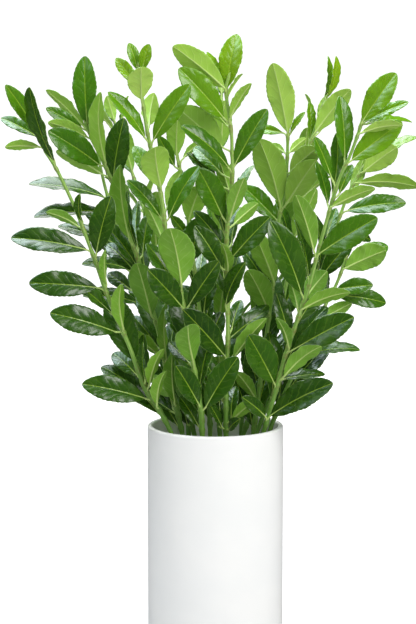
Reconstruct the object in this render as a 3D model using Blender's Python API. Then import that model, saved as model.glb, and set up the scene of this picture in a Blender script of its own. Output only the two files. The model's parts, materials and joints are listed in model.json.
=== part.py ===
"""Cut euonymus branches standing in a tall white vase of water.

Each leafy stem is one body with its leaves. The branches that face the viewer were read by hand off a front
view, in its pixels, and the ones behind them follow the habit of the plant: leaves in pairs up the stem, each
pair a quarter turn from the pair below. Lengths are in millimetres until a mesh is made.
"""

import math
import random
from collections import namedtuple

import bmesh
import bpy
from mathutils import Matrix, Vector
from mathutils.bvhtree import BVHTree

MM = 0.001

# Faces turned less than this from each other count as one flat face
FLAT = math.radians(0.4)

# Vase: a straight cylinder with a rounded lip, its origin under the middle of its foot
VASE_RADIUS = 60.0
VASE_HEIGHT = 250.0
VASE_WALL = 5.0
VASE_FLOOR = 7.0
VASE_SIDES = 36
LIP_ROUND = 1.8
FOOT_BEVEL = 1.5
INNER_ROUND = 4.0

# Water: fills the vase up to this height, clear of the wall and of each stem
WATER_LEVEL = 170.0
CLEARANCE = 0.35

# Stems: thick at the cut end and thin at the shoot's tip
CUT_END_RADIUS = 2.7
SHOOT_TIP_RADIUS = 1.2
STEM_SIDES = 5
STEM_STEPS = 8
STEM_GAP = 0.9
HOLE_MARGIN = 4.0
FOOT_REACH = 47.0
FOOT_RINGS = 16
FOOT_TURNS = 72

# Leaves: thick and leathery, with a short stalk
BLADE_THICKNESS = 0.9
BLADE_RATIO = 0.43
LONGEST_BLADE = 72.0
STALK_HALF_WIDTH = 0.9
STALK_LENGTHS = (6.0, 13.0)
STALK_DROP = 5.0
ROOT_HALF_WIDTH = 0.7
ROOT_KEEL = 0.9
ROOT_SUNK = 0.5
LEAF_GAP = 0.45
EDGE_STATIONS = (0.0, 0.24, 0.55, 0.87)
RIB_STATION = 0.5
ARCHES = (0.03, 0.1)
FOLDS = (math.radians(9), math.radians(20))
WAVES = (0.6, 1.2)
WAVY_WIDTH = 22.0
WAVE_TURNS = 5 * math.pi
WAVE_SHIFT = 2.2

# Habit of the plant: pairs of leaves up the stem, long and spread low down, short and upright toward the tip
PAIRS = 8
LOWEST_PAIR = 0.02
HIGHEST_PAIR = 0.96
LOW_BLADE = 62.0
HIGH_BLADE = 36.0
LOW_LEAN = math.radians(50)
HIGH_LEAN = math.radians(26)
TIP_BLADE = 24.0
TIP_LEAN = math.radians(18)
HABIT_STALK = 9.0
TURN_SPREAD = math.radians(12)
REAR_SHARES = (0.06, 0.16, 0.28, 0.42)
REAR_TURNS = (40, -40, 5, 60)
REAR_LEAN = 0.7

# How a leaf gives way where its place is taken: moves of its tip, sizes, and what each counts against it
FIRST_MOVES = (0, 5, -5, 10, -10, 15, -15, 20, -20, 26, -26, 33, -33)
SECOND_MOVES = (0, 5, -5, 10, -10, 16, -16)
SIZES = (1.0, 0.92, 0.84, 0.75)
SECOND_COST = 2.2
SIZE_COST = 110
BASE_FOLLOWS = 0.1

# Front view: where the viewer's eye is, and how large a length looks from there
VIEW_PITCH = math.radians(8)
VIEW_DISTANCE = 2200.0
VIEW_AIM = Vector((-6.5, 0.0, 350.3))
VIEW_CENTRE = (208, 312)
VIEW_FOCAL = 2508.0
VIEW_FORWARD = Vector((0.0, math.cos(VIEW_PITCH), -math.sin(VIEW_PITCH)))
VIEW_UP = Vector((0.0, math.sin(VIEW_PITCH), math.cos(VIEW_PITCH)))
VIEW_EYE = VIEW_AIM - VIEW_DISTANCE * VIEW_FORWARD
TOWARD_VIEWER = Vector((0.0, -1.0, 0.0))
BASE_LEAD = 0.2
BASE_OUT = 1.5
STALK_PULL = 2.0
FULL_FACE = 0.96
TIP_NARROWING = 0.25

# A stem's path, and a leaf's blade from base to tip, are pixels of the front view (column, row). toward is
# how far the stem lies before the vase's axis at the mouth and at the tip. out is how far the leaf's tip lies
# before its stem. seen is the width seen in pixels, and is below zero where the underside shows.
Shoot = namedtuple("Shoot", "path toward leaves")
Reading = namedtuple("Reading", "base tip out seen")

FRONT_SHOOTS = {
    "branch_centre": Shoot(
        path=[(226, 430), (226, 386), (228, 338), (227, 272), (227, 231), (232, 181), (232, 150), (231, 130),
              (226, 92), (228, 80)],
        toward=(22, 78),
        leaves=[
            Reading(base=(227, 87), tip=(237, 34), out=-6, seen=22),
            Reading(base=(225, 87), tip=(173, 46), out=6, seen=-24),
            Reading(base=(224, 84), tip=(207, 52), out=-8, seen=7),
            Reading(base=(223, 117), tip=(179, 68), out=10, seen=26),
            Reading(base=(229, 118), tip=(251, 83), out=18, seen=-10),
            Reading(base=(235, 164), tip=(267, 109), out=6, seen=22),
            Reading(base=(222, 147), tip=(178, 108), out=-12, seen=-30),
            Reading(base=(229, 167), tip=(181, 126), out=14, seen=16),
            Reading(base=(226, 124), tip=(190, 92), out=-24, seen=14),
            Reading(base=(230, 193), tip=(217, 155), out=-12, seen=-15),
            Reading(base=(219, 172), tip=(194, 147), out=-26, seen=16),
            Reading(base=(218, 184), tip=(187, 153), out=-14, seen=10),
            Reading(base=(222, 216), tip=(198, 168), out=16, seen=26),
            Reading(base=(230, 218), tip=(244, 178), out=26, seen=-16),
            Reading(base=(237, 200), tip=(254, 165), out=-18, seen=8),
            Reading(base=(234, 224), tip=(258, 203), out=-22, seen=-14),
            Reading(base=(221, 243), tip=(194, 211), out=-10, seen=14),
            Reading(base=(229, 272), tip=(222, 243), out=28, seen=-10),
            Reading(base=(225, 304), tip=(245, 261), out=16, seen=16),
            Reading(base=(221, 268), tip=(195, 226), out=6, seen=22),
            Reading(base=(232, 257), tip=(270, 217), out=14, seen=24),
            Reading(base=(225, 355), tip=(183, 308), out=18, seen=27),
            Reading(base=(229, 338), tip=(264, 312), out=-14, seen=20),
            Reading(base=(234, 357), tip=(266, 318), out=22, seen=-14),
            Reading(base=(232, 420), tip=(256, 400), out=12, seen=-13),
            Reading(base=(222, 428), tip=(208, 402), out=10, seen=9),
            Reading(base=(221, 392), tip=(203, 358), out=-16, seen=15),
            Reading(base=(229, 430), tip=(240, 419), out=24, seen=10),
            Reading(base=(232, 300), tip=(238, 256), out=-20, seen=15),
            Reading(base=(232, 243), tip=(240, 207), out=-24, seen=11),
            Reading(base=(219, 427), tip=(217, 384), out=-20, seen=17),
            Reading(base=(232, 424), tip=(236, 387), out=-22, seen=14),
            Reading(base=(232, 328), tip=(241, 300), out=-18, seen=13),
        ],
    ),
    "branch_left_centre": Shoot(
        path=[(202, 430), (201, 410), (196, 380), (190, 345), (184, 309), (177, 275), (166, 232), (162, 200),
              (150, 145), (145, 118), (139, 70)],
        toward=(34, 92),
        leaves=[
            Reading(base=(138, 71), tip=(129, 43), out=-5, seen=11),
            Reading(base=(142, 71), tip=(149, 44), out=5, seen=12),
            Reading(base=(137, 86), tip=(116, 58), out=-14, seen=13),
            Reading(base=(141, 99), tip=(141, 67), out=26, seen=-25),
            Reading(base=(145, 137), tip=(108, 92), out=6, seen=14),
            Reading(base=(153, 139), tip=(190, 84), out=6, seen=22),
            Reading(base=(149, 125), tip=(154, 93), out=-26, seen=-17),
            Reading(base=(161, 187), tip=(155, 147), out=30, seen=-29),
            Reading(base=(160, 216), tip=(127, 180), out=-8, seen=15),
            Reading(base=(169, 218), tip=(199, 166), out=6, seen=18),
            Reading(base=(163, 241), tip=(145, 202), out=-24, seen=-15),
            Reading(base=(182, 284), tip=(170, 228), out=24, seen=-35),
            Reading(base=(182, 306), tip=(148, 269), out=16, seen=26),
            Reading(base=(189, 305), tip=(219, 261), out=22, seen=22),
            Reading(base=(193, 361), tip=(188, 322), out=34, seen=-26),
            Reading(base=(187, 342), tip=(166, 309), out=-22, seen=15),
            Reading(base=(199, 404), tip=(176, 364), out=12, seen=22),
            Reading(base=(206, 407), tip=(238, 357), out=16, seen=26),
            Reading(base=(199, 427), tip=(179, 396), out=-12, seen=14),
            Reading(base=(189, 362), tip=(169, 342), out=-24, seen=14),
            Reading(base=(167, 207), tip=(182, 170), out=-22, seen=-15),
            Reading(base=(156, 184), tip=(134, 146), out=-22, seen=16),
        ],
    ),
    "branch_right_front": Shoot(
        path=[(266, 424), (276, 390), (284, 360), (297, 321), (308, 290), (316, 260), (326, 223), (339, 180),
              (349, 158), (357, 137), (362, 121)],
        toward=(24, 80),
        leaves=[
            Reading(base=(362, 122), tip=(396, 73), out=6, seen=24),
            Reading(base=(365, 120), tip=(386, 90), out=-14, seen=7),
            Reading(base=(366, 120), tip=(407, 101), out=-8, seen=11),
            Reading(base=(366, 123), tip=(412, 122), out=-24, seen=6),
            Reading(base=(361, 132), tip=(403, 125), out=18, seen=-10),
            Reading(base=(352, 160), tip=(402, 122), out=10, seen=25),
            Reading(base=(345, 158), tip=(340, 96), out=-10, seen=18),
            Reading(base=(333, 192), tip=(337, 133), out=-20, seen=17),
            Reading(base=(331, 206), tip=(375, 188), out=20, seen=-13),
            Reading(base=(331, 176), tip=(314, 136), out=-8, seen=12),
            Reading(base=(319, 253), tip=(377, 217), out=12, seen=28),
            Reading(base=(314, 250), tip=(296, 195), out=18, seen=-20),
            Reading(base=(301, 292), tip=(270, 220), out=14, seen=30),
            Reading(base=(302, 308), tip=(350, 292), out=22, seen=-14),
            Reading(base=(298, 309), tip=(291, 283), out=-14, seen=-12),
            Reading(base=(305, 298), tip=(327, 271), out=-18, seen=-20),
            Reading(base=(290, 337), tip=(276, 293), out=-8, seen=17),
            Reading(base=(294, 349), tip=(354, 317), out=14, seen=28),
            Reading(base=(290, 347), tip=(277, 318), out=26, seen=-11),
            Reading(base=(284, 376), tip=(321, 346), out=28, seen=-17),
            Reading(base=(283, 378), tip=(325, 374), out=-12, seen=10),
            Reading(base=(274, 382), tip=(248, 334), out=18, seen=30),
            Reading(base=(270, 415), tip=(333, 383), out=18, seen=27),
            Reading(base=(266, 416), tip=(242, 397), out=22, seen=15),
            Reading(base=(328, 203), tip=(317, 162), out=-24, seen=11),
            Reading(base=(340, 193), tip=(352, 164), out=-14, seen=11),
            Reading(base=(327, 238), tip=(336, 208), out=-20, seen=12),
        ],
    ),
    "branch_left_front": Shoot(
        path=[(170, 430), (161, 413), (146, 390), (138, 370), (128, 343), (108, 297), (96, 263), (84, 231),
              (75, 208), (58, 172), (46, 152), (34, 128)],
        toward=(20, 78),
        leaves=[
            Reading(base=(36, 129), tip=(7, 84), out=6, seen=16),
            Reading(base=(33, 124), tip=(26, 95), out=-12, seen=7),
            Reading(base=(37, 136), tip=(1, 118), out=-18, seen=12),
            Reading(base=(40, 146), tip=(5, 147), out=18, seen=-10),
            Reading(base=(54, 161), tip=(29, 83), out=30, seen=14),
            Reading(base=(82, 222), tip=(80, 194), out=20, seen=7),
            Reading(base=(79, 226), tip=(46, 212), out=-14, seen=-10),
            Reading(base=(96, 253), tip=(111, 196), out=10, seen=25),
            Reading(base=(87, 249), tip=(11, 238), out=4, seen=24),
            Reading(base=(106, 284), tip=(105, 250), out=26, seen=-8),
            Reading(base=(97, 287), tip=(29, 283), out=8, seen=26),
            Reading(base=(123, 329), tip=(121, 284), out=22, seen=-14),
            Reading(base=(115, 332), tip=(50, 313), out=12, seen=28),
            Reading(base=(138, 376), tip=(113, 353), out=-26, seen=18),
            Reading(base=(145, 379), tip=(143, 342), out=16, seen=7),
            Reading(base=(149, 384), tip=(163, 347), out=24, seen=-12),
            Reading(base=(145, 398), tip=(82, 384), out=12, seen=26),
            Reading(base=(156, 404), tip=(165, 371), out=30, seen=-12),
        ],
    ),
    "branch_left_mid": Shoot(
        path=[(181, 428), (176, 405), (168, 376), (156, 322), (140, 266), (131, 240), (114, 188), (108, 172),
              (97, 150), (87, 127)],
        toward=(4, 18),
        leaves=[
            Reading(base=(87, 125), tip=(85, 56), out=-6, seen=24),
            Reading(base=(85, 127), tip=(46, 90), out=-16, seen=-11),
            Reading(base=(82, 128), tip=(46, 108), out=10, seen=13),
            Reading(base=(88, 137), tip=(48, 122), out=22, seen=-13),
            Reading(base=(99, 165), tip=(49, 130), out=12, seen=26),
            Reading(base=(102, 174), tip=(56, 151), out=-14, seen=-16),
            Reading(base=(105, 163), tip=(100, 92), out=14, seen=-16),
            Reading(base=(128, 238), tip=(120, 164), out=16, seen=-17),
            Reading(base=(137, 246), tip=(128, 190), out=-14, seen=10),
            Reading(base=(134, 271), tip=(107, 244), out=-24, seen=18),
            Reading(base=(146, 272), tip=(141, 240), out=-26, seen=18),
            Reading(base=(151, 315), tip=(137, 263), out=26, seen=-28),
            Reading(base=(157, 347), tip=(133, 316), out=-22, seen=16),
            Reading(base=(160, 356), tip=(126, 329), out=20, seen=-12),
            Reading(base=(166, 360), tip=(165, 304), out=14, seen=-10),
            Reading(base=(174, 402), tip=(172, 353), out=20, seen=-14),
            Reading(base=(171, 396), tip=(151, 376), out=-24, seen=-16),
            Reading(base=(177, 425), tip=(161, 400), out=-14, seen=13),
            Reading(base=(143, 254), tip=(149, 214), out=-18, seen=16),
            Reading(base=(172, 408), tip=(158, 384), out=-28, seen=13),
            Reading(base=(138, 248), tip=(138, 203), out=-26, seen=12),
        ],
    ),
    "branch_right_inner": Shoot(
        path=[(254, 428), (262, 370), (271, 300), (279, 220), (286, 182), (288, 132)],
        toward=(-2, 4),
        leaves=[
            Reading(base=(288, 132), tip=(273, 63), out=8, seen=-27),
            Reading(base=(290, 133), tip=(305, 112), out=6, seen=6),
            Reading(base=(283, 132), tip=(255, 128), out=-14, seen=10),
            Reading(base=(280, 202), tip=(259, 139), out=20, seen=-31),
            Reading(base=(290, 172), tip=(317, 148), out=22, seen=-22),
            Reading(base=(287, 203), tip=(316, 160), out=24, seen=-27),
            Reading(base=(277, 219), tip=(243, 186), out=-12, seen=20),
            Reading(base=(275, 282), tip=(255, 234), out=26, seen=-25),
            Reading(base=(270, 313), tip=(246, 266), out=14, seen=-28),
            Reading(base=(266, 285), tip=(243, 250), out=-18, seen=16),
            Reading(base=(268, 350), tip=(276, 311), out=-16, seen=18),
            Reading(base=(256, 398), tip=(236, 372), out=14, seen=-14),
            Reading(base=(258, 413), tip=(268, 372), out=-10, seen=18),
            Reading(base=(289, 152), tip=(306, 138), out=-16, seen=-9),
            Reading(base=(285, 152), tip=(271, 144), out=-16, seen=-8),
            Reading(base=(253, 428), tip=(247, 399), out=-12, seen=15),
        ],
    ),
    "branch_right_low": Shoot(
        path=[(272, 424), (285, 392), (305, 350), (326, 304), (336, 285), (345, 262)],
        toward=(4, 8),
        leaves=[
            Reading(base=(344, 268), tip=(386, 250), out=10, seen=-26),
            Reading(base=(346, 262), tip=(388, 246), out=-20, seen=20),
            Reading(base=(336, 289), tip=(373, 285), out=8, seen=17),
            Reading(base=(336, 294), tip=(386, 303), out=-14, seen=19),
            Reading(base=(318, 322), tip=(352, 303), out=-8, seen=-14),
            Reading(base=(326, 300), tip=(310, 268), out=14, seen=-16),
            Reading(base=(306, 355), tip=(360, 350), out=10, seen=11),
        ],
    ),
    "branch_right_high": Shoot(
        path=[(260, 424), (285, 360), (318, 280), (340, 216), (350, 190), (362, 170)],
        toward=(-24, -34),
        leaves=[
            Reading(base=(366, 162), tip=(417, 137), out=-6, seen=10),
            Reading(base=(363, 172), tip=(397, 147), out=12, seen=-24),
            Reading(base=(358, 182), tip=(420, 187), out=12, seen=-15),
            Reading(base=(347, 210), tip=(406, 203), out=10, seen=19),
            Reading(base=(338, 232), tip=(371, 240), out=-20, seen=12),
            Reading(base=(322, 276), tip=(352, 240), out=10, seen=20),
            Reading(base=(351, 192), tip=(364, 158), out=-12, seen=-13),
        ],
    ),
    "branch_right_thin": Shoot(
        path=[(246, 426), (262, 380), (283, 300), (295, 230), (303, 170), (314, 132), (325, 100)],
        toward=(-30, -50),
        leaves=[
            Reading(base=(325, 99), tip=(328, 56), out=-6, seen=6),
            Reading(base=(327, 98), tip=(336, 56), out=6, seen=8),
            Reading(base=(315, 132), tip=(350, 89), out=6, seen=-21),
            Reading(base=(310, 139), tip=(309, 102), out=-12, seen=9),
            Reading(base=(260, 394), tip=(247, 352), out=12, seen=20),
            Reading(base=(295, 258), tip=(311, 231), out=-10, seen=17),
            Reading(base=(295, 236), tip=(306, 207), out=10, seen=-18),
            Reading(base=(249, 421), tip=(235, 378), out=-12, seen=20),
            Reading(base=(302, 228), tip=(317, 190), out=12, seen=-15),
        ],
    ),
    "branch_left_back": Shoot(
        path=[(192, 426), (170, 370), (146, 305), (124, 250), (108, 198), (100, 165), (96, 142)],
        toward=(-28, -56),
        leaves=[
            Reading(base=(113, 186), tip=(124, 118), out=14, seen=26),
            Reading(base=(105, 196), tip=(29, 184), out=6, seen=13),
            Reading(base=(106, 211), tip=(34, 217), out=14, seen=14),
            Reading(base=(118, 244), tip=(58, 226), out=-12, seen=14),
            Reading(base=(128, 268), tip=(82, 264), out=16, seen=12),
            Reading(base=(130, 290), tip=(108, 273), out=-18, seen=16),
            Reading(base=(142, 304), tip=(83, 296), out=10, seen=14),
            Reading(base=(185, 413), tip=(159, 385), out=8, seen=14),
            Reading(base=(188, 426), tip=(183, 396), out=8, seen=14),
            Reading(base=(113, 234), tip=(84, 210), out=-8, seen=13),
        ],
    ),
    "branch_inner_back": Shoot(
        path=[(210, 424), (205, 360), (197, 290), (189, 225), (179, 165), (174, 138)],
        toward=(-14, -30),
        leaves=[
            Reading(base=(176, 156), tip=(178, 114), out=10, seen=-20),
            Reading(base=(172, 140), tip=(166, 104), out=-10, seen=9),
            Reading(base=(182, 158), tip=(205, 140), out=-12, seen=-8),
            Reading(base=(188, 221), tip=(201, 186), out=14, seen=-25),
            Reading(base=(187, 262), tip=(204, 217), out=10, seen=28),
            Reading(base=(201, 312), tip=(178, 286), out=-16, seen=18),
            Reading(base=(205, 350), tip=(222, 312), out=-14, seen=20),
            Reading(base=(204, 312), tip=(211, 272), out=-8, seen=20),
            Reading(base=(211, 421), tip=(203, 378), out=-14, seen=22),
            Reading(base=(174, 166), tip=(158, 136), out=12, seen=13),
            Reading(base=(187, 236), tip=(171, 216), out=10, seen=11),
            Reading(base=(199, 290), tip=(203, 256), out=-14, seen=13),
            Reading(base=(206, 332), tip=(211, 298), out=-6, seen=13),
        ],
    ),
}

# Branches behind, which no front reading gives: where each leaves the vase's mouth and where its tip ends, as
# (right, toward the viewer, up), the bow of the stem, and the turn of its first pair of leaves in degrees
BackShoot = namedtuple("BackShoot", "mouth tip bow turn")
BACK_SHOOTS = {
    "branch_back_left": BackShoot(mouth=(-25, -41, 250), tip=(-92, -142, 505), bow=16, turn=15),
    "branch_back_centre": BackShoot(mouth=(3, -46, 250), tip=(6, -150, 530), bow=18, turn=0),
    "branch_back_right": BackShoot(mouth=(24, -44, 250), tip=(94, -128, 505), bow=14, turn=-15),
}

Leaf = namedtuple("Leaf", "root base tip up width arch fold wave first second")


def from_view(place, toward):
    """The point seen at a pixel of the front view, this far before the vase's axis."""
    sight = VIEW_FORWARD * VIEW_FOCAL + VIEW_UP * (VIEW_CENTRE[1] - place[1])
    sight.x = place[0] - VIEW_CENTRE[0]
    return VIEW_EYE + sight * ((-toward - VIEW_EYE.y) / sight.y)


def to_view(point):
    """The pixel of the front view at which a point is seen."""
    offset = point - VIEW_EYE
    scale = VIEW_FOCAL / offset.dot(VIEW_FORWARD)
    return Vector((VIEW_CENTRE[0] + offset.x * scale, VIEW_CENTRE[1] - offset.dot(VIEW_UP) * scale))


def smooth_path(points):
    """A Catmull-Rom curve through the points."""
    first = points[0] * 2 - points[1]
    last = points[-1] * 2 - points[-2]
    ends = [first, *points, last]
    path = [points[0]]
    for a, b, c, d in zip(ends, ends[1:], ends[2:], ends[3:]):
        for step in range(1, STEM_STEPS + 1):
            t = step / STEM_STEPS
            bend = (2 * a - 5 * b + 4 * c - d) * t * t + (3 * b - 3 * c + d - a) * t**3
            path.append((2 * b + (c - a) * t + bend) / 2)
    return path


def front_stem(shoot):
    """The stem's points from the vase's mouth up to its tip."""
    low = shoot.path[0][1]
    high = shoot.path[-1][1]
    points = []
    for place in shoot.path:
        share = (low - place[1]) / (low - high)
        points.append(from_view(place, shoot.toward[0] + share * (shoot.toward[1] - shoot.toward[0])))
    return points


def back_stem(shoot):
    """The stem's points from the vase's mouth up to its tip, bowed outward."""
    mouth = Vector((shoot.mouth[0], -shoot.mouth[1], shoot.mouth[2]))
    tip = Vector((shoot.tip[0], -shoot.tip[1], shoot.tip[2]))
    outward = Vector((tip.x, tip.y, 0.0)).normalized()
    points = []
    for step in range(STEM_STEPS + 1):
        t = step / STEM_STEPS
        points.append(mouth.lerp(tip, t) - outward * shoot.bow * 4 * t * (1 - t))
    return points


def segment_gap(a, b, c, d):
    """The least distance between two straight lines, from a to b and from c to d."""
    least = math.inf
    steps = 40
    for step in range(steps + 1):
        point = a.lerp(b, step / steps)
        run = d - c
        share = max(0.0, min(1.0, (point - c).dot(run) / run.length_squared))
        least = min(least, (point - c - run * share).length)
    return least


def choose_foot(mouth, above, placed):
    """Where a stem's cut end stands: as straight on as it can, clear of the stems already in the vase."""
    slope = (mouth - above) / (above.z - mouth.z)
    floor = VASE_FLOOR + CLEARANCE
    ideal = mouth + slope * (mouth.z - floor)
    ideal.z = floor
    spread = math.hypot(ideal.x, ideal.y)
    if spread > FOOT_REACH:
        ideal.x *= FOOT_REACH / spread
        ideal.y *= FOOT_REACH / spread
    places = []
    for ring in range(1, FOOT_RINGS + 1):
        reach = FOOT_REACH * ring / FOOT_RINGS
        for turn in range(FOOT_TURNS):
            angle = math.tau * turn / FOOT_TURNS
            places.append(Vector((reach * math.cos(angle), reach * math.sin(angle), floor)))
    places.sort(key=lambda place: (place - ideal).length)
    for place in places:
        if all(segment_gap(place, mouth, a, b) > 2 * CUT_END_RADIUS + STEM_GAP for a, b in placed):
            return place
    return ideal


def stem_radius(share):
    """How thick the stem is, from its cut end at 0 to the shoot's tip at 1."""
    return CUT_END_RADIUS + (SHOOT_TIP_RADIUS - CUT_END_RADIUS) * share


def tube(points, radii, sides, name):
    """A closed tube along the points. Its first ring lies level, as the stem stands on its cut end."""
    mesh = bmesh.new()
    across = Vector((1.0, 0.0, 0.0))
    rings = []
    for index, point in enumerate(points):
        before = points[max(index - 1, 0)]
        after = points[min(index + 1, len(points) - 1)]
        along = (after - before).normalized()
        across = (across - along * across.dot(along)).normalized()
        other = along.cross(across)
        ring = []
        for side in range(sides):
            angle = math.tau * side / sides
            place = point + (across * math.cos(angle) + other * math.sin(angle)) * radii[index]
            if index == 0:
                place -= along * ((place.z - point.z) / along.z)
            ring.append(mesh.verts.new(place))
        rings.append(ring)
    for low, high in zip(rings, rings[1:]):
        for side in range(sides):
            following = (side + 1) % sides
            mesh.faces.new((low[side], low[following], high[following], high[side]))
    mesh.faces.new(rings[0][::-1])
    mesh.faces.new(rings[-1])
    bmesh.ops.triangulate(mesh, faces=mesh.faces)
    return finish_mesh(mesh, name)


def finish_mesh(mesh, name):
    """Closes off the modelling of a mesh, with its faces pointing out and its size in metres."""
    bmesh.ops.recalc_face_normals(mesh, faces=mesh.faces)
    bmesh.ops.scale(mesh, vec=(MM, MM, MM), verts=mesh.verts)
    data = bpy.data.meshes.new(name)
    mesh.to_mesh(data)
    mesh.free()
    return data


def blade_outline(s):
    """Half the blade's width at a share s of its length, as a share of the widest: wedge base, blunt tip."""
    return math.sin(math.pi * s**1.18) ** 0.57 if 0.0 < s < 1.0 else 0.0


def blade_point(leaf, s, t):
    """A point of the blade's upper face, s along it from base to tip and t across it from -1 to 1."""
    run = leaf.tip - leaf.base
    length = run.length
    along = run / length
    across = along.cross(leaf.up)
    half = max(leaf.width / 2 * blade_outline(s), STALK_HALF_WIDTH * (1 - s))
    rise = length * leaf.arch * 4 * s * (1 - s)
    rise += half * abs(t) * math.tan(leaf.fold)
    shift = WAVE_SHIFT if t > 0 else 0.0
    rise += leaf.wave * t * t * math.sin(math.pi * s) * math.sin(WAVE_TURNS * s + shift)
    return leaf.base + run * s + across * half * t + leaf.up * rise


def leaf_solid(leaf, grow=0.0, stalk=True):
    """Corners and triangles of one closed leaf. grow makes it larger all round, to test the gap about it."""
    run = (leaf.tip - leaf.base).normalized()
    across = run.cross(leaf.up)
    top = leaf.up * grow
    under = leaf.up * -(BLADE_THICKNESS + grow)
    corners = []

    def both_faces(point):
        corners.append(point + top)
        corners.append(point + under)
        return len(corners) - 2

    left = [both_faces(blade_point(leaf, s, -1) - across * grow) for s in EDGE_STATIONS]
    right = [both_faces(blade_point(leaf, s, 1) + across * grow) for s in EDGE_STATIONS]
    rib = both_faces(blade_point(leaf, RIB_STATION, 0))
    tip = both_faces(blade_point(leaf, 1, 0) + run * grow)
    sheet = [(left[0], right[0], rib)]
    for edge in (left, right):
        edge.append(tip)
        sheet += [(a, b, rib) for a, b in zip(edge, edge[1:])]
    triangles = sheet + [(a + 1, b + 1, c + 1) for a, b, c in sheet]
    for edge in (left, right):
        for a, b in zip(edge, edge[1:]):
            triangles += [(a, b, b + 1), (a, b + 1, a + 1)]
    if not stalk:
        triangles += [(left[0], right[0], right[0] + 1), (left[0], right[0] + 1, left[0] + 1)]
        return corners, triangles
    half = across * (ROOT_HALF_WIDTH + grow)
    keel = leaf.up * -(ROOT_KEEL + grow)
    sunk = leaf.root - (leaf.base - leaf.root).normalized() * ROOT_SUNK
    root = len(corners)
    corners += [sunk - half + top, sunk + half + top, sunk + keel]
    triangles.append((root, root + 1, root + 2))
    triangles += [(left[0], right[0], root + 1), (left[0], root + 1, root)]
    triangles += [(left[0], left[0] + 1, root + 2), (left[0], root + 2, root)]
    triangles += [(right[0], right[0] + 1, root + 2), (right[0], root + 2, root + 1)]
    triangles.append((left[0] + 1, right[0] + 1, root + 2))
    return corners, triangles


def perpendicular(vector, along):
    """The part of a direction that lies square to another one."""
    return (vector - along * vector.dot(along)).normalized()


def stem_place(samples, place, drop):
    """The stem's point and direction below the one seen nearest to a pixel."""
    seen = Vector(place)
    nearest = min(range(len(samples)), key=lambda index: (to_view(samples[index]) - seen).length)
    index = nearest
    travelled = 0.0
    while index > 0 and travelled < drop:
        travelled += (samples[index] - samples[index - 1]).length
        index -= 1
    above = samples[min(index + 1, len(samples) - 1)]
    below = samples[max(index - 1, 0)]
    return samples[index], (above - below).normalized(), index / (len(samples) - 1)


def read_leaf(samples, reading, draw):
    """A leaf of a branch that faces the viewer, from its reading."""
    root, stem_run, share = stem_place(samples, reading.base, STALK_DROP)
    depth = -root.y
    side = math.copysign(1.0, reading.out)
    tip = from_view(reading.tip, depth + reading.out)
    base = from_view(reading.base, depth + reading.out * BASE_LEAD + side * BASE_OUT)
    stalk = base - root
    shortest, longest = STALK_LENGTHS
    stalk_length = max(shortest, min(longest, stalk.length))
    base = root + (stalk + (tip - root).normalized() * STALK_PULL).normalized() * stalk_length
    run = (tip - base).normalized()
    length = (tip - base).length
    facing = perpendicular(VIEW_EYE - base, run)
    edgewise = run.cross(facing)
    if edgewise.dot(stem_run) < 0:
        edgewise = -edgewise
    seen = abs(reading.seen) * VIEW_DISTANCE / VIEW_FOCAL
    width = max(seen / FULL_FACE, length * BLADE_RATIO * (1 - TIP_NARROWING * share))
    turned = seen / width
    up = facing * math.copysign(turned, reading.seen) + edgewise * math.sqrt(1 - turned * turned)
    second = facing.cross(run)
    return make_leaf(root, base, tip, up, width, draw, TOWARD_VIEWER, second)


def make_leaf(root, base, tip, up, width, draw, first, second):
    """A leaf with its own bend, fold and waves. first and second are the ways in which it may give way."""
    return Leaf(
        root=root,
        base=base,
        tip=tip,
        up=up.normalized(),
        width=width,
        arch=draw.uniform(*ARCHES),
        fold=draw.uniform(*FOLDS),
        wave=draw.uniform(*WAVES) * min(1.0, width / WAVY_WIDTH),
        first=first,
        second=second,
    )


def habit_leaf(samples, share, turn, length, lean, draw):
    """A leaf by the plant's habit: turned round the stem and leaning out from it by these angles."""
    index = min(int(share * (len(samples) - 1)), len(samples) - 2)
    root = samples[index]
    stem_run = (samples[index + 1] - root).normalized()
    outward = perpendicular(Vector((0.0, 1.0, 0.0)), stem_run)
    outward.rotate(Matrix.Rotation(turn, 3, stem_run))
    run = stem_run * math.cos(lean) + outward * math.sin(lean)
    stalk_run = (run + stem_run * 0.5).normalized()
    base = root + stalk_run * HABIT_STALK
    tip = base + run * length
    up = perpendicular(stem_run - outward * 0.2, run)
    width = length * BLADE_RATIO * draw.uniform(0.92, 1.08)
    return make_leaf(root, base, tip, up, width, draw, up, run.cross(up))


def habit_size(share, draw):
    """Length of a blade and its lean from the stem, at a share of the stem's height."""
    length = (LOW_BLADE + (HIGH_BLADE - LOW_BLADE) * share**1.5) * draw.uniform(0.9, 1.06)
    lean = (LOW_LEAN + (HIGH_LEAN - LOW_LEAN) * share) * draw.uniform(0.9, 1.15)
    return length, lean


def habit_leaves(samples, first_turn, draw):
    """Pairs of leaves up a whole stem, and two small ones at its tip."""
    leaves = []
    for pair in range(PAIRS):
        share = LOWEST_PAIR + (HIGHEST_PAIR - LOWEST_PAIR) * pair / (PAIRS - 1)
        turn = math.radians(first_turn + 90 * pair) + draw.uniform(-TURN_SPREAD, TURN_SPREAD)
        for half_turn in (0.0, math.pi):
            length, lean = habit_size(share, draw)
            leaves.append(habit_leaf(samples, share, turn + half_turn, length, lean, draw))
    for half_turn in (0.0, math.pi):
        turn = math.radians(first_turn) + half_turn
        leaves.append(habit_leaf(samples, 1.0, turn, TIP_BLADE, TIP_LEAN, draw))
    return leaves


def rear_leaves(samples, draw):
    """Leaves on the far side of a stem whose near side was read off the front view."""
    leaves = []
    for share, degrees in zip(REAR_SHARES, REAR_TURNS):
        turn = math.radians(degrees) + draw.uniform(-TURN_SPREAD, TURN_SPREAD)
        length, lean = habit_size(share, draw)
        leaves.append(habit_leaf(samples, share, turn, length, lean * REAR_LEAN, draw))
    return leaves


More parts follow.
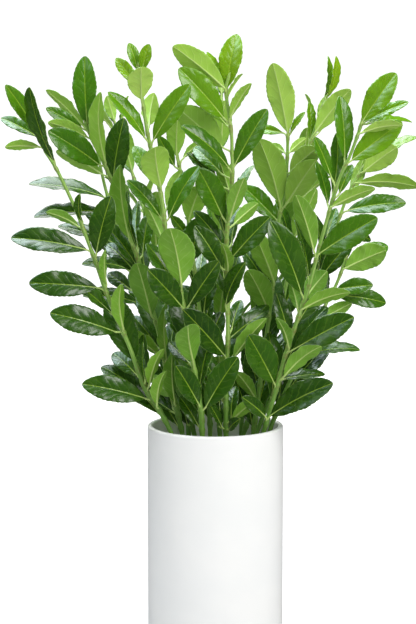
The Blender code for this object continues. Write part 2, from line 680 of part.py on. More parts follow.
def nudges():
    """Small moves of a leaf's tip, in the order in which they are tried: along its first way of giving way,
    along the second, and a smaller leaf."""
    moves = []
    for size in SIZES:
        for second in SECOND_MOVES:
            for first in FIRST_MOVES:
                effort = abs(first) + SECOND_COST * abs(second) + SIZE_COST * (1 - size)
                moves.append((effort, first, second, size))
    return sorted(moves, key=lambda move: move[0])


NUDGES = nudges()


def nudged(leaf, first, second, size):
    """The leaf with its tip moved and its blade resized."""
    shift = leaf.first * first + leaf.second * second
    base = leaf.base + shift * BASE_FOLLOWS
    run = (leaf.tip + shift - base) * size
    if run.length > LONGEST_BLADE:
        run *= LONGEST_BLADE / run.length
    up = perpendicular(leaf.up, run.normalized())
    return leaf._replace(base=base, tip=base + run, up=up, width=leaf.width * size)


class Space:
    """What already stands in the bunch, so that a new leaf is given a clear place."""

    def __init__(self):
        self.things = []

    def add(self, owner, corners, triangles):
        low = Vector(min(corner[axis] for corner in corners) for axis in range(3))
        high = Vector(max(corner[axis] for corner in corners) for axis in range(3))
        self.things.append((owner, low, high, BVHTree.FromPolygons(corners, triangles)))

    def near(self, low, high):
        for thing in self.things:
            if all(thing[1][axis] < high[axis] and thing[2][axis] > low[axis] for axis in range(3)):
                yield thing

    def is_clear(self, owner, leaf):
        corners, triangles = leaf_solid(leaf, LEAF_GAP)
        low = Vector(min(corner[axis] for corner in corners) for axis in range(3))
        high = Vector(max(corner[axis] for corner in corners) for axis in range(3))
        whole = BVHTree.FromPolygons(corners, triangles)
        corners, triangles = leaf_solid(leaf, LEAF_GAP, stalk=False)
        blade = BVHTree.FromPolygons(corners, triangles)
        for thing_owner, _, _, tree in self.near(low, high):
            mine = blade if thing_owner == owner else whole
            if mine.overlap(tree):
                return False
        return True

    def settle(self, owner, leaf):
        """The leaf at the nearest clear place, or None."""
        for _, first, second, size in NUDGES:
            trial = nudged(leaf, first, second, size)
            if self.is_clear(owner, trial):
                self.add(owner, *leaf_solid(trial))
                return trial
        return None


def mesh_triangles(data):
    """A mesh's corners in millimetres and its triangles."""
    data.calc_loop_triangles()
    corners = [vertex.co / MM for vertex in data.vertices]
    return corners, [tuple(triangle.vertices) for triangle in data.loop_triangles]


def grow_stems():
    """Each branch's stem: its points from the cut end up, and close samples of it above the vase's mouth."""
    above_mouth = {name: front_stem(shoot) for name, shoot in FRONT_SHOOTS.items()}
    above_mouth.update({name: back_stem(shoot) for name, shoot in BACK_SHOOTS.items()})
    placed = []
    stems = {}
    for name, points in above_mouth.items():
        foot = choose_foot(points[0], points[1], placed)
        placed.append((foot, points[0]))
        stems[name] = ([foot, *points], smooth_path(points))
    return stems


def grow_leaves(stems, space):
    """Every branch's leaves, each in a clear place."""
    leaves = {name: [] for name in stems}
    wanted = []
    for name, shoot in FRONT_SHOOTS.items():
        draw = random.Random(name)
        samples = stems[name][1]
        wanted += [(name, read_leaf(samples, reading, draw)) for reading in shoot.leaves]
    for name, shoot in BACK_SHOOTS.items():
        draw = random.Random(name)
        wanted += [(name, leaf) for leaf in habit_leaves(stems[name][1], shoot.turn, draw)]
    for name in FRONT_SHOOTS:
        draw = random.Random(name + " rear")
        wanted += [(name, leaf) for leaf in rear_leaves(stems[name][1], draw)]
    for name, leaf in wanted:
        settled = space.settle(name, leaf)
        if settled:
            leaves[name].append(settled)
    return leaves


def material(name, colour, roughness):
    """A Principled material without metal."""
    made = bpy.data.materials.new(name)
    made.use_nodes = True
    shader = made.node_tree.nodes["Principled BSDF"]
    shader.inputs["Base Color"].default_value = (*colour, 1.0)
    shader.inputs["Roughness"].default_value = roughness
    shader.inputs["Metallic"].default_value = 0.0
    return made


def add_object(name, data, made_of=None):
    """An object of this mesh in the scene."""
    if made_of:
        data.materials.append(made_of)
    thing = bpy.data.objects.new(name, data)
    bpy.context.scene.collection.objects.link(thing)
    return thing


def turned(profile, sides, name):
    """A solid turned round the upright axis from a profile of (radius, height), flat at both its ends."""
    mesh = bmesh.new()
    rings = []
    for radius, height in profile:
        ring = []
        for side in range(sides):
            angle = math.tau * side / sides
            ring.append(mesh.verts.new((radius * math.cos(angle), radius * math.sin(angle), height)))
        rings.append(ring)
    mesh.faces.new(rings[0])
    mesh.faces.new(rings[-1])
    for low, high in zip(rings, rings[1:]):
        for side in range(sides):
            following = (side + 1) % sides
            mesh.faces.new((low[side], low[following], high[following], high[side]))
    return finish_mesh(mesh, name)


def arc(centre, radius, start, end, steps):
    """Points of an arc in a profile, between two angles in degrees."""
    points = []
    for step in range(steps + 1):
        angle = math.radians(start + (end - start) * step / steps)
        points.append((centre[0] + radius * math.cos(angle), centre[1] + radius * math.sin(angle)))
    return points


def vase_mesh():
    """The vase's wall, floor and rounded lip."""
    inner = VASE_RADIUS - VASE_WALL
    profile = [(VASE_RADIUS - FOOT_BEVEL, 0.0), (VASE_RADIUS, FOOT_BEVEL)]
    profile += arc((VASE_RADIUS - LIP_ROUND, VASE_HEIGHT - LIP_ROUND), LIP_ROUND, 0, 90, 2)
    profile += arc((inner + LIP_ROUND, VASE_HEIGHT - LIP_ROUND), LIP_ROUND, 90, 180, 2)
    profile += arc((inner - INNER_ROUND, VASE_FLOOR + INNER_ROUND), INNER_ROUND, 0, -90, 1)
    return turned(profile, VASE_SIDES, "vase")


def water_mesh():
    """The water as a plain filled cylinder, before the stems' holes."""
    radius = VASE_RADIUS - VASE_WALL - CLEARANCE
    bottom = VASE_FLOOR + CLEARANCE
    low = radius - INNER_ROUND
    profile = arc((low, bottom + INNER_ROUND), INNER_ROUND, -90, 0, 1)
    profile.append((radius, WATER_LEVEL))
    return turned(profile, VASE_SIDES, "water")


def apply_boolean(body, operation, collection):
    """Joins or cuts a body with every object of a collection, and then removes those objects."""
    modifier = body.modifiers.new("boolean", "BOOLEAN")
    modifier.operation = operation
    modifier.operand_type = "COLLECTION"
    modifier.collection = collection
    modifier.solver = "EXACT"
    shaped = bpy.data.meshes.new_from_object(body.evaluated_get(bpy.context.evaluated_depsgraph_get()))
    body.modifiers.remove(modifier)
    body.data = shaped
    dissolve_seams(shaped)
    for thing in list(collection.objects):
        bpy.data.objects.remove(thing)
    bpy.data.collections.remove(collection)


def dissolve_seams(data):
    """Takes out the corners and edges that a joining or a cut leaves in the middle of flat faces."""
    mesh = bmesh.new()
    mesh.from_mesh(data)
    bmesh.ops.dissolve_limit(mesh, angle_limit=FLAT, verts=mesh.verts, edges=mesh.edges)
    bmesh.ops.triangulate(mesh, faces=mesh.faces)
    mesh.to_mesh(data)
    mesh.free()


def tool_collection(name, meshes):
    """A collection with one object for each mesh."""
    collection = bpy.data.collections.new(name)
    bpy.context.scene.collection.children.link(collection)
    for data in meshes:
        collection.objects.link(bpy.data.objects.new(data.name, data))
    return collection


def leaf_mesh(leaf, name):
    """One leaf as a mesh."""
    corners, triangles = leaf_solid(leaf)
    mesh = bmesh.new()
    points = [mesh.verts.new(corner) for corner in corners]
    for triangle in triangles:
        mesh.faces.new([points[index] for index in triangle])
    return finish_mesh(mesh, name)


def stem_mesh(points, name, wider=0.0):
    """A stem as a mesh, thinner toward its tip."""
    reach = [0.0]
    for a, b in zip(points, points[1:]):
        reach.append(reach[-1] + (b - a).length)
    radii = [stem_radius(length / reach[-1]) + wider for length in reach]
    return tube(points, radii, STEM_SIDES, name)


def stem_cutter(points):
    """What a stem takes out of the water: a straight hole, a little wider than the stem, right through."""
    foot, mouth = points[0], points[1]
    run = (mouth - foot) / (mouth.z - foot.z)
    low = foot - run * HOLE_MARGIN
    high = foot + run * (WATER_LEVEL + HOLE_MARGIN - foot.z)
    radius = CUT_END_RADIUS + CLEARANCE
    return tube([low, high], [radius, radius], STEM_SIDES, "stem_hole")


def clear_scene():
    """Starts from an empty scene."""
    for thing in list(bpy.data.objects):
        bpy.data.objects.remove(thing)


def build():
    """Makes the vase, the water and the branches."""
    clear_scene()
    glaze = material("vase_glaze", (0.86, 0.86, 0.85), 0.22)
    clear_water = material("water", (0.72, 0.8, 0.78), 0.05)
    stems = grow_stems()
    space = Space()
    vase = vase_mesh()
    space.add("vase", *mesh_triangles(vase))
    stem_meshes = {name: stem_mesh(points, name) for name, (points, _) in stems.items()}
    for name, data in stem_meshes.items():
        space.add(name, *mesh_triangles(data))
    leaves = grow_leaves(stems, space)
    add_object("vase", vase, glaze)
    water = add_object("water", water_mesh(), clear_water)
    cutters = tool_collection("stem_holes", [stem_cutter(points) for points, _ in stems.values()])
    apply_boolean(water, "DIFFERENCE", cutters)
    for index, (name, data) in enumerate(stem_meshes.items()):
        shade = 0.8 + 0.04 * index
        green = material(name + "_green", (0.07 * shade, 0.22 * shade, 0.035 * shade), 0.4)
        branch = add_object(name, data, green)
        blades = [leaf_mesh(leaf, "leaf") for leaf in leaves[name]]
        apply_boolean(branch, "UNION", tool_collection(name + "_leaves", blades))


build()
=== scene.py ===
"""Looks of a vase of cut euonymus branches.

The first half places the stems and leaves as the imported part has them, in millimetres. The second half grows
fine stems and leaves in those places, turns the vase and the water, and sets up the materials and the studio.
"""

import json
import math
import random
from collections import namedtuple

import bmesh
import bpy
import numpy as np
from mathutils import Matrix, Vector
from mathutils.bvhtree import BVHTree

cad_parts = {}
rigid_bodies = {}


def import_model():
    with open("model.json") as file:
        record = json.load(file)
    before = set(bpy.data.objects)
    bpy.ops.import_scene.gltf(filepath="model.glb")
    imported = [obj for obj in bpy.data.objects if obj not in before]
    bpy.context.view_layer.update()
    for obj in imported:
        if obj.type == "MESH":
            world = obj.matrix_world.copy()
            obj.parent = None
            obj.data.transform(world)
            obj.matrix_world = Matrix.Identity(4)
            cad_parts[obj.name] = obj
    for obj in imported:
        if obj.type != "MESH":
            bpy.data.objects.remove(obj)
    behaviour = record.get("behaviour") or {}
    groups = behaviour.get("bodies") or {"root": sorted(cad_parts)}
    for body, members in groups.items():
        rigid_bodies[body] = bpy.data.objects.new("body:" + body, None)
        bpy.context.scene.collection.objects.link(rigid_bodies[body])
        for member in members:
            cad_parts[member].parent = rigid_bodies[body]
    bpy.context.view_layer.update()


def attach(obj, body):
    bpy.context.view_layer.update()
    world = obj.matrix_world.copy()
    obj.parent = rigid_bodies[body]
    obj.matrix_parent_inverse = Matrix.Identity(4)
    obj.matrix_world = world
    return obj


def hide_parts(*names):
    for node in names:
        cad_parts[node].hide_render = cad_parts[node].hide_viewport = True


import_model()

MM = 0.001

# Vase: a straight cylinder with a rounded lip, its origin under the middle of its foot
VASE_RADIUS = 60.0
VASE_HEIGHT = 250.0
VASE_WALL = 5.0
VASE_FLOOR = 7.0
VASE_SIDES = 36
LIP_ROUND = 1.8
FOOT_BEVEL = 1.5
INNER_ROUND = 4.0

# Water: fills the vase up to this height, clear of the wall and of each stem
WATER_LEVEL = 170.0
CLEARANCE = 0.35

# Stems: thick at the cut end and thin at the shoot's tip
CUT_END_RADIUS = 2.7
SHOOT_TIP_RADIUS = 1.2
STEM_SIDES = 5
STEM_STEPS = 8
STEM_GAP = 0.9
HOLE_MARGIN = 4.0
FOOT_REACH = 47.0
FOOT_RINGS = 16
FOOT_TURNS = 72
GAP_STEPS = 40

# Leaves: thick and leathery, with a short stalk
BLADE_THICKNESS = 0.9
BLADE_RATIO = 0.43
BLADE_SKEW = 1.18
BLADE_FULLNESS = 0.57
LONGEST_BLADE = 72.0
STALK_HALF_WIDTH = 0.9
STALK_LENGTHS = (6.0, 13.0)
STALK_DROP = 5.0
ROOT_HALF_WIDTH = 0.7
ROOT_KEEL = 0.9
ROOT_SUNK = 0.5
LEAF_GAP = 0.45
EDGE_STATIONS = (0.0, 0.24, 0.55, 0.87)
RIB_STATION = 0.5
ARCHES = (0.03, 0.1)
FOLDS = (math.radians(9), math.radians(20))
WAVES = (0.6, 1.2)
WAVY_WIDTH = 22.0
WAVE_TURNS = 5 * math.pi
WAVE_SHIFT = 2.2

# Habit of the plant: pairs of leaves up the stem, long and spread low down, short and upright toward the tip
PAIRS = 8
LOWEST_PAIR = 0.02
HIGHEST_PAIR = 0.96
LOW_BLADE = 62.0
HIGH_BLADE = 36.0
LOW_LEAN = math.radians(50)
HIGH_LEAN = math.radians(26)
TIP_BLADE = 24.0
TIP_LEAN = math.radians(18)
HABIT_STALK = 9.0
TURN_SPREAD = math.radians(12)
SHORTENING = 1.5
LENGTH_SPREAD = (0.9, 1.06)
LEAN_SPREAD = (0.9, 1.15)
WIDTH_SPREAD = (0.92, 1.08)
STALK_UPTURN = 0.5
FACE_TILT = 0.2
REAR_SHARES = (0.06, 0.16, 0.28, 0.42)
REAR_TURNS = (40, -40, 5, 60)
REAR_LEAN = 0.7

# How a leaf gives way where its place is taken: moves of its tip, sizes, and what each counts against it
FIRST_MOVES = (0, 5, -5, 10, -10, 15, -15, 20, -20, 26, -26, 33, -33)
SECOND_MOVES = (0, 5, -5, 10, -10, 16, -16)
SIZES = (1.0, 0.92, 0.84, 0.75)
SECOND_COST = 2.2
SIZE_COST = 110
BASE_FOLLOWS = 0.1

# Front view: where the viewer's eye is, and how large a length looks from there
VIEW_PITCH = math.radians(8)
VIEW_DISTANCE = 2200.0
VIEW_AIM = Vector((-6.5, 0.0, 350.3))
VIEW_CENTRE = (208, 312)
VIEW_FOCAL = 2508.0
VIEW_FORWARD = Vector((0.0, math.cos(VIEW_PITCH), -math.sin(VIEW_PITCH)))
VIEW_UP = Vector((0.0, math.sin(VIEW_PITCH), math.cos(VIEW_PITCH)))
VIEW_EYE = VIEW_AIM - VIEW_DISTANCE * VIEW_FORWARD
TOWARD_VIEWER = Vector((0.0, -1.0, 0.0))
BASE_LEAD = 0.2
BASE_OUT = 1.5
STALK_PULL = 2.0
FULL_FACE = 0.96
TIP_NARROWING = 0.25

# A stem's path is pixels of the front view (column, row), from the vase's mouth up. toward is how far it lies
# before the vase's axis at the mouth and at the tip. fresh is how young its leaves stay toward its tip: 0 all
# dark and old, 1 bright growth. Each row of leaves is a Reading: the blade's base and tip as pixels, how far
# its tip lies before the stem, and the width seen in pixels, below zero where the underside shows.
Shoot = namedtuple("Shoot", "fresh path toward leaves")
Reading = namedtuple("Reading", "base tip out seen")

FRONT_SHOOTS = {
    "branch_centre": Shoot(
        fresh=1.0,
        path=[(226, 430), (226, 386), (228, 338), (227, 272), (227, 231), (232, 181), (232, 150), (231, 130),
              (226, 92), (228, 80)],
        toward=(22, 78),
        leaves=[
            ((227, 87), (237, 34), -6, 22), ((225, 87), (173, 46), 6, -24), ((224, 84), (207, 52), -8, 7),
            ((223, 117), (179, 68), 10, 26), ((229, 118), (251, 83), 18, -10),
            ((235, 164), (267, 109), 6, 22), ((222, 147), (178, 108), -12, -30),
            ((229, 167), (181, 126), 14, 16), ((226, 124), (190, 92), -24, 14),
            ((230, 193), (217, 155), -12, -15), ((219, 172), (194, 147), -26, 16),
            ((218, 184), (187, 153), -14, 10), ((222, 216), (198, 168), 16, 26),
            ((230, 218), (244, 178), 26, -16), ((237, 200), (254, 165), -18, 8),
            ((234, 224), (258, 203), -22, -14), ((221, 243), (194, 211), -10, 14),
            ((229, 272), (222, 243), 28, -10), ((225, 304), (245, 261), 16, 16),
            ((221, 268), (195, 226), 6, 22), ((232, 257), (270, 217), 14, 24),
            ((225, 355), (183, 308), 18, 27), ((229, 338), (264, 312), -14, 20),
            ((234, 357), (266, 318), 22, -14), ((232, 420), (256, 400), 12, -13),
            ((222, 428), (208, 402), 10, 9), ((221, 392), (203, 358), -16, 15),
            ((229, 430), (240, 419), 24, 10), ((232, 300), (238, 256), -20, 15),
            ((232, 243), (240, 207), -24, 11), ((219, 427), (217, 384), -20, 17),
            ((232, 424), (236, 387), -22, 14), ((232, 328), (241, 300), -18, 13),
        ],
    ),
    "branch_left_centre": Shoot(
        fresh=0.95,
        path=[(202, 430), (201, 410), (196, 380), (190, 345), (184, 309), (177, 275), (166, 232), (162, 200),
              (150, 145), (145, 118), (139, 70)],
        toward=(34, 92),
        leaves=[
            ((138, 71), (129, 43), -5, 11), ((142, 71), (149, 44), 5, 12), ((137, 86), (116, 58), -14, 13),
            ((141, 99), (141, 67), 26, -25), ((145, 137), (108, 92), 6, 14), ((153, 139), (190, 84), 6, 22),
            ((149, 125), (154, 93), -26, -17), ((161, 187), (155, 147), 30, -29),
            ((160, 216), (127, 180), -8, 15), ((169, 218), (199, 166), 6, 18),
            ((163, 241), (145, 202), -24, -15), ((182, 284), (170, 228), 24, -35),
            ((182, 306), (148, 269), 16, 26), ((189, 305), (219, 261), 22, 22),
            ((193, 361), (188, 322), 34, -26), ((187, 342), (166, 309), -22, 15),
            ((199, 404), (176, 364), 12, 22), ((206, 407), (238, 357), 16, 26),
            ((199, 427), (179, 396), -12, 14), ((189, 362), (169, 342), -24, 14),
            ((167, 207), (182, 170), -22, -15), ((156, 184), (134, 146), -22, 16),
        ],
    ),
    "branch_right_front": Shoot(
        fresh=0.85,
        path=[(266, 424), (276, 390), (284, 360), (297, 321), (308, 290), (316, 260), (326, 223), (339, 180),
              (349, 158), (357, 137), (362, 121)],
        toward=(24, 80),
        leaves=[
            ((362, 122), (396, 73), 6, 24), ((365, 120), (386, 90), -14, 7), ((366, 120), (407, 101), -8, 11),
            ((366, 123), (412, 122), -24, 6), ((361, 132), (403, 125), 18, -10),
            ((352, 160), (402, 122), 10, 25), ((345, 158), (340, 96), -10, 18),
            ((333, 192), (337, 133), -20, 17), ((331, 206), (375, 188), 20, -13),
            ((331, 176), (314, 136), -8, 12), ((319, 253), (377, 217), 12, 28),
            ((314, 250), (296, 195), 18, -20), ((301, 292), (270, 220), 14, 30),
            ((302, 308), (350, 292), 22, -14), ((298, 309), (291, 283), -14, -12),
            ((305, 298), (327, 271), -18, -20), ((290, 337), (276, 293), -8, 17),
            ((294, 349), (354, 317), 14, 28), ((290, 347), (277, 318), 26, -11),
            ((284, 376), (321, 346), 28, -17), ((283, 378), (325, 374), -12, 10),
            ((274, 382), (248, 334), 18, 30), ((270, 415), (333, 383), 18, 27),
            ((266, 416), (242, 397), 22, 15), ((328, 203), (317, 162), -24, 11),
            ((340, 193), (352, 164), -14, 11), ((327, 238), (336, 208), -20, 12),
        ],
    ),
    "branch_left_front": Shoot(
        fresh=0.3,
        path=[(170, 430), (161, 413), (146, 390), (138, 370), (128, 343), (108, 297), (96, 263), (84, 231),
              (75, 208), (58, 172), (46, 152), (34, 128)],
        toward=(20, 78),
        leaves=[
            ((36, 129), (7, 84), 6, 16), ((33, 124), (26, 95), -12, 7), ((37, 136), (1, 118), -18, 12),
            ((40, 146), (5, 147), 18, -10), ((54, 161), (29, 83), 30, 14), ((82, 222), (80, 194), 20, 7),
            ((79, 226), (46, 212), -14, -10), ((96, 253), (111, 196), 10, 25), ((87, 249), (11, 238), 4, 24),
            ((106, 284), (105, 250), 26, -8), ((97, 287), (29, 283), 8, 26),
            ((123, 329), (121, 284), 22, -14), ((115, 332), (50, 313), 12, 28),
            ((138, 376), (113, 353), -26, 18), ((145, 379), (143, 342), 16, 7),
            ((149, 384), (163, 347), 24, -12), ((145, 398), (82, 384), 12, 26),
            ((156, 404), (165, 371), 30, -12),
        ],
    ),
    "branch_left_mid": Shoot(
        fresh=0.5,
        path=[(181, 428), (176, 405), (168, 376), (156, 322), (140, 266), (131, 240), (114, 188), (108, 172),
              (97, 150), (87, 127)],
        toward=(4, 18),
        leaves=[
            ((87, 125), (85, 56), -6, 24), ((85, 127), (46, 90), -16, -11), ((82, 128), (46, 108), 10, 13),
            ((88, 137), (48, 122), 22, -13), ((99, 165), (49, 130), 12, 26),
            ((102, 174), (56, 151), -14, -16), ((105, 163), (100, 92), 14, -16),
            ((128, 238), (120, 164), 16, -17), ((137, 246), (128, 190), -14, 10),
            ((134, 271), (107, 244), -24, 18), ((146, 272), (141, 240), -26, 18),
            ((151, 315), (137, 263), 26, -28), ((157, 347), (133, 316), -22, 16),
            ((160, 356), (126, 329), 20, -12), ((166, 360), (165, 304), 14, -10),
            ((174, 402), (172, 353), 20, -14), ((171, 396), (151, 376), -24, -16),
            ((177, 425), (161, 400), -14, 13), ((143, 254), (149, 214), -18, 16),
            ((172, 408), (158, 384), -28, 13), ((138, 248), (138, 203), -26, 12),
        ],
    ),
    "branch_right_inner": Shoot(
        fresh=0.8,
        path=[(254, 428), (262, 370), (271, 300), (279, 220), (286, 182), (288, 132)],
        toward=(-2, 4),
        leaves=[
            ((288, 132), (273, 63), 8, -27), ((290, 133), (305, 112), 6, 6),
            ((283, 132), (255, 128), -14, 10), ((280, 202), (259, 139), 20, -31),
            ((290, 172), (317, 148), 22, -22), ((287, 203), (316, 160), 24, -27),
            ((277, 219), (243, 186), -12, 20), ((275, 282), (255, 234), 26, -25),
            ((270, 313), (246, 266), 14, -28), ((266, 285), (243, 250), -18, 16),
            ((268, 350), (276, 311), -16, 18), ((256, 398), (236, 372), 14, -14),
            ((258, 413), (268, 372), -10, 18), ((289, 152), (306, 138), -16, -9),
            ((285, 152), (271, 144), -16, -8), ((253, 428), (247, 399), -12, 15),
        ],
    ),
    "branch_right_low": Shoot(
        fresh=0.45,
        path=[(272, 424), (285, 392), (305, 350), (326, 304), (336, 285), (345, 262)],
        toward=(4, 8),
        leaves=[
            ((344, 268), (386, 250), 10, -26), ((346, 262), (388, 246), -20, 20),
            ((336, 289), (373, 285), 8, 17), ((336, 294), (386, 303), -14, 19),
            ((318, 322), (352, 303), -8, -14), ((326, 300), (310, 268), 14, -16),
            ((306, 355), (360, 350), 10, 11),
        ],
    ),
    "branch_right_high": Shoot(
        fresh=0.8,
        path=[(260, 424), (285, 360), (318, 280), (340, 216), (350, 190), (362, 170)],
        toward=(-24, -34),
        leaves=[
            ((366, 162), (417, 137), -6, 10), ((363, 172), (397, 147), 12, -24),
            ((358, 182), (420, 187), 12, -15), ((347, 210), (406, 203), 10, 19),
            ((338, 232), (371, 240), -20, 12), ((322, 276), (352, 240), 10, 20),
            ((351, 192), (364, 158), -12, -13),
        ],
    ),
    "branch_right_thin": Shoot(
        fresh=1.0,
        path=[(246, 426), (262, 380), (283, 300), (295, 230), (303, 170), (314, 132), (325, 100)],
        toward=(-30, -50),
        leaves=[
            ((325, 99), (328, 56), -6, 6), ((327, 98), (336, 56), 6, 8), ((315, 132), (350, 89), 6, -21),
            ((310, 139), (309, 102), -12, 9), ((260, 394), (247, 352), 12, 20),
            ((295, 258), (311, 231), -10, 17), ((295, 236), (306, 207), 10, -18),
            ((249, 421), (235, 378), -12, 20), ((302, 228), (317, 190), 12, -15),
        ],
    ),
    "branch_left_back": Shoot(
        fresh=0.35,
        path=[(192, 426), (170, 370), (146, 305), (124, 250), (108, 198), (100, 165), (96, 142)],
        toward=(-28, -56),
        leaves=[
            ((113, 186), (124, 118), 14, 26), ((105, 196), (29, 184), 6, 13), ((106, 211), (34, 217), 14, 14),
            ((118, 244), (58, 226), -12, 14), ((128, 268), (82, 264), 16, 12),
            ((130, 290), (108, 273), -18, 16), ((142, 304), (83, 296), 10, 14),
            ((185, 413), (159, 385), 8, 14), ((188, 426), (183, 396), 8, 14), ((113, 234), (84, 210), -8, 13),
        ],
    ),
    "branch_inner_back": Shoot(
        fresh=0.55,
        path=[(210, 424), (205, 360), (197, 290), (189, 225), (179, 165), (174, 138)],
        toward=(-14, -30),
        leaves=[
            ((176, 156), (178, 114), 10, -20), ((172, 140), (166, 104), -10, 9),
            ((182, 158), (205, 140), -12, -8), ((188, 221), (201, 186), 14, -25),
            ((187, 262), (204, 217), 10, 28), ((201, 312), (178, 286), -16, 18),
            ((205, 350), (222, 312), -14, 20), ((204, 312), (211, 272), -8, 20),
            ((211, 421), (203, 378), -14, 22), ((174, 166), (158, 136), 12, 13),
            ((187, 236), (171, 216), 10, 11), ((199, 290), (203, 256), -14, 13),
            ((206, 332), (211, 298), -6, 13),
        ],
    ),
}

# Branches behind, which no front reading gives: where each leaves the vase's mouth and where its tip ends, as
# (right, toward the viewer, up), the bow of the stem, and the turn of its first pair of leaves in degrees
BackShoot = namedtuple("BackShoot", "fresh mouth tip bow turn")
BACK_SHOOTS = {
    "branch_back_left": BackShoot(fresh=0.5, mouth=(-25, -41, 250), tip=(-92, -142, 505), bow=16, turn=15),
    "branch_back_centre": BackShoot(fresh=0.8, mouth=(3, -46, 250), tip=(6, -150, 530), bow=18, turn=0),
    "branch_back_right": BackShoot(fresh=0.7, mouth=(24, -44, 250), tip=(94, -128, 505), bow=14, turn=-15),
}

Leaf = namedtuple("Leaf", "root base tip up width arch fold wave first second")


def from_view(place, toward):
    """The point seen at a pixel of the front view, this far before the vase's axis."""
    sight = VIEW_FORWARD * VIEW_FOCAL + VIEW_UP * (VIEW_CENTRE[1] - place[1])
    sight.x = place[0] - VIEW_CENTRE[0]
    return VIEW_EYE + sight * ((-toward - VIEW_EYE.y) / sight.y)


def to_view(point):
    """The pixel of the front view at which a point is seen."""
    offset = point - VIEW_EYE
    scale = VIEW_FOCAL / offset.dot(VIEW_FORWARD)
    return Vector((VIEW_CENTRE[0] + offset.x * scale, VIEW_CENTRE[1] - offset.dot(VIEW_UP) * scale))


def smooth_path(points):
    """A Catmull-Rom curve through the points."""
    first = points[0] * 2 - points[1]
    last = points[-1] * 2 - points[-2]
    ends = [first, *points, last]
    path = [points[0]]
    for a, b, c, d in zip(ends, ends[1:], ends[2:], ends[3:]):
        for step in range(1, STEM_STEPS + 1):
            t = step / STEM_STEPS
            bend = (2 * a - 5 * b + 4 * c - d) * t * t + (3 * b - 3 * c + d - a) * t**3
            path.append((2 * b + (c - a) * t + bend) / 2)
    return path


def front_stem(shoot):
    """The stem's points from the vase's mouth up to its tip."""
    low = shoot.path[0][1]
    high = shoot.path[-1][1]
    points = []
    for place in shoot.path:
        share = (low - place[1]) / (low - high)
        points.append(from_view(place, shoot.toward[0] + share * (shoot.toward[1] - shoot.toward[0])))
    return points


def back_stem(shoot):
    """The stem's points from the vase's mouth up to its tip, bowed outward."""
    mouth = Vector((shoot.mouth[0], -shoot.mouth[1], shoot.mouth[2]))
    tip = Vector((shoot.tip[0], -shoot.tip[1], shoot.tip[2]))
    outward = Vector((tip.x, tip.y, 0.0)).normalized()
    points = []
    for step in range(STEM_STEPS + 1):
        t = step / STEM_STEPS
        points.append(mouth.lerp(tip, t) - outward * shoot.bow * 4 * t * (1 - t))
    return points


def segment_gap(a, b, c, d):
    """The least distance between two straight lines, from a to b and from c to d."""
    least = math.inf
    run = d - c
    for step in range(GAP_STEPS + 1):
        point = a.lerp(b, step / GAP_STEPS)
        share = max(0.0, min(1.0, (point - c).dot(run) / run.length_squared))
        least = min(least, (point - c - run * share).length)
    return least


def choose_foot(mouth, above, placed):
    """Where a stem's cut end stands: as straight on as it can, clear of the stems already in the vase."""
    slope = (mouth - above) / (above.z - mouth.z)
    floor = VASE_FLOOR + CLEARANCE
    ideal = mouth + slope * (mouth.z - floor)
    ideal.z = floor
    spread = math.hypot(ideal.x, ideal.y)
    if spread > FOOT_REACH:
        ideal.x *= FOOT_REACH / spread
        ideal.y *= FOOT_REACH / spread
    places = []
    for ring in range(1, FOOT_RINGS + 1):
        places += [Vector(place) for place in circle(FOOT_REACH * ring / FOOT_RINGS, floor, FOOT_TURNS)]
    places.sort(key=lambda place: (place - ideal).length)
    for place in places:
        if all(segment_gap(place, mouth, a, b) > 2 * CUT_END_RADIUS + STEM_GAP for a, b in placed):
            return place
    return ideal


def circle(radius, height, sides):
    """Places on a level circle round the vase's axis."""
    turns = [math.tau * side / sides for side in range(sides)]
    return [(radius * math.cos(turn), radius * math.sin(turn), height) for turn in turns]


def stem_radius(share):
    """How thick the stem is, from its cut end at 0 to the shoot's tip at 1."""
    return CUT_END_RADIUS + (SHOOT_TIP_RADIUS - CUT_END_RADIUS) * share


def perpendicular(vector, along):
    """The part of a direction that lies square to another one."""
    return (vector - along * vector.dot(along)).normalized()


def run_at(points, index):
    """Which way a path runs at one of its points."""
    return (points[min(index + 1, len(points) - 1)] - points[max(index - 1, 0)]).normalized()


def reaches(points):
    """How far along a path each of its points lies."""
    lengths = [0.0]
    for a, b in zip(points, points[1:]):
        lengths.append(lengths[-1] + (b - a).length)
    return lengths


def nearest(points, place):
    """The index of the point that lies nearest to a place."""
    return min(range(len(points)), key=lambda index: (points[index] - place).length_squared)


def ring_frames(points, across):
    """Which way a path runs at each of its points, and two directions square to that, without twist."""
    frames = []
    for index in range(len(points)):
        along = run_at(points, index)
        across = perpendicular(across, along)
        frames.append((along, across, along.cross(across)))
    return frames


def add_bands(mesh, rings):
    """A band of faces between each ring of corners and the next."""
    for low, high in zip(rings, rings[1:]):
        for side in range(len(low)):
            following = (side + 1) % len(low)
            mesh.faces.new((low[side], low[following], high[following], high[side]))


def tube(points, radii, sides, name):
    """A closed tube along the points. Its first ring lies level, as the stem stands on its cut end."""
    mesh = bmesh.new()
    rings = []
    for point, radius, frame_there in zip(points, radii, ring_frames(points, Vector((1.0, 0.0, 0.0)))):
        along, across, other = frame_there
        ring = []
        for side in range(sides):
            angle = math.tau * side / sides
            place = point + (across * math.cos(angle) + other * math.sin(angle)) * radius
            if not rings:
                place -= along * ((place.z - point.z) / along.z)
            ring.append(mesh.verts.new(place))
        rings.append(ring)
    add_bands(mesh, rings)
    mesh.faces.new(rings[0][::-1])
    mesh.faces.new(rings[-1])
    bmesh.ops.triangulate(mesh, faces=mesh.faces)
    return finish_mesh(mesh, name)


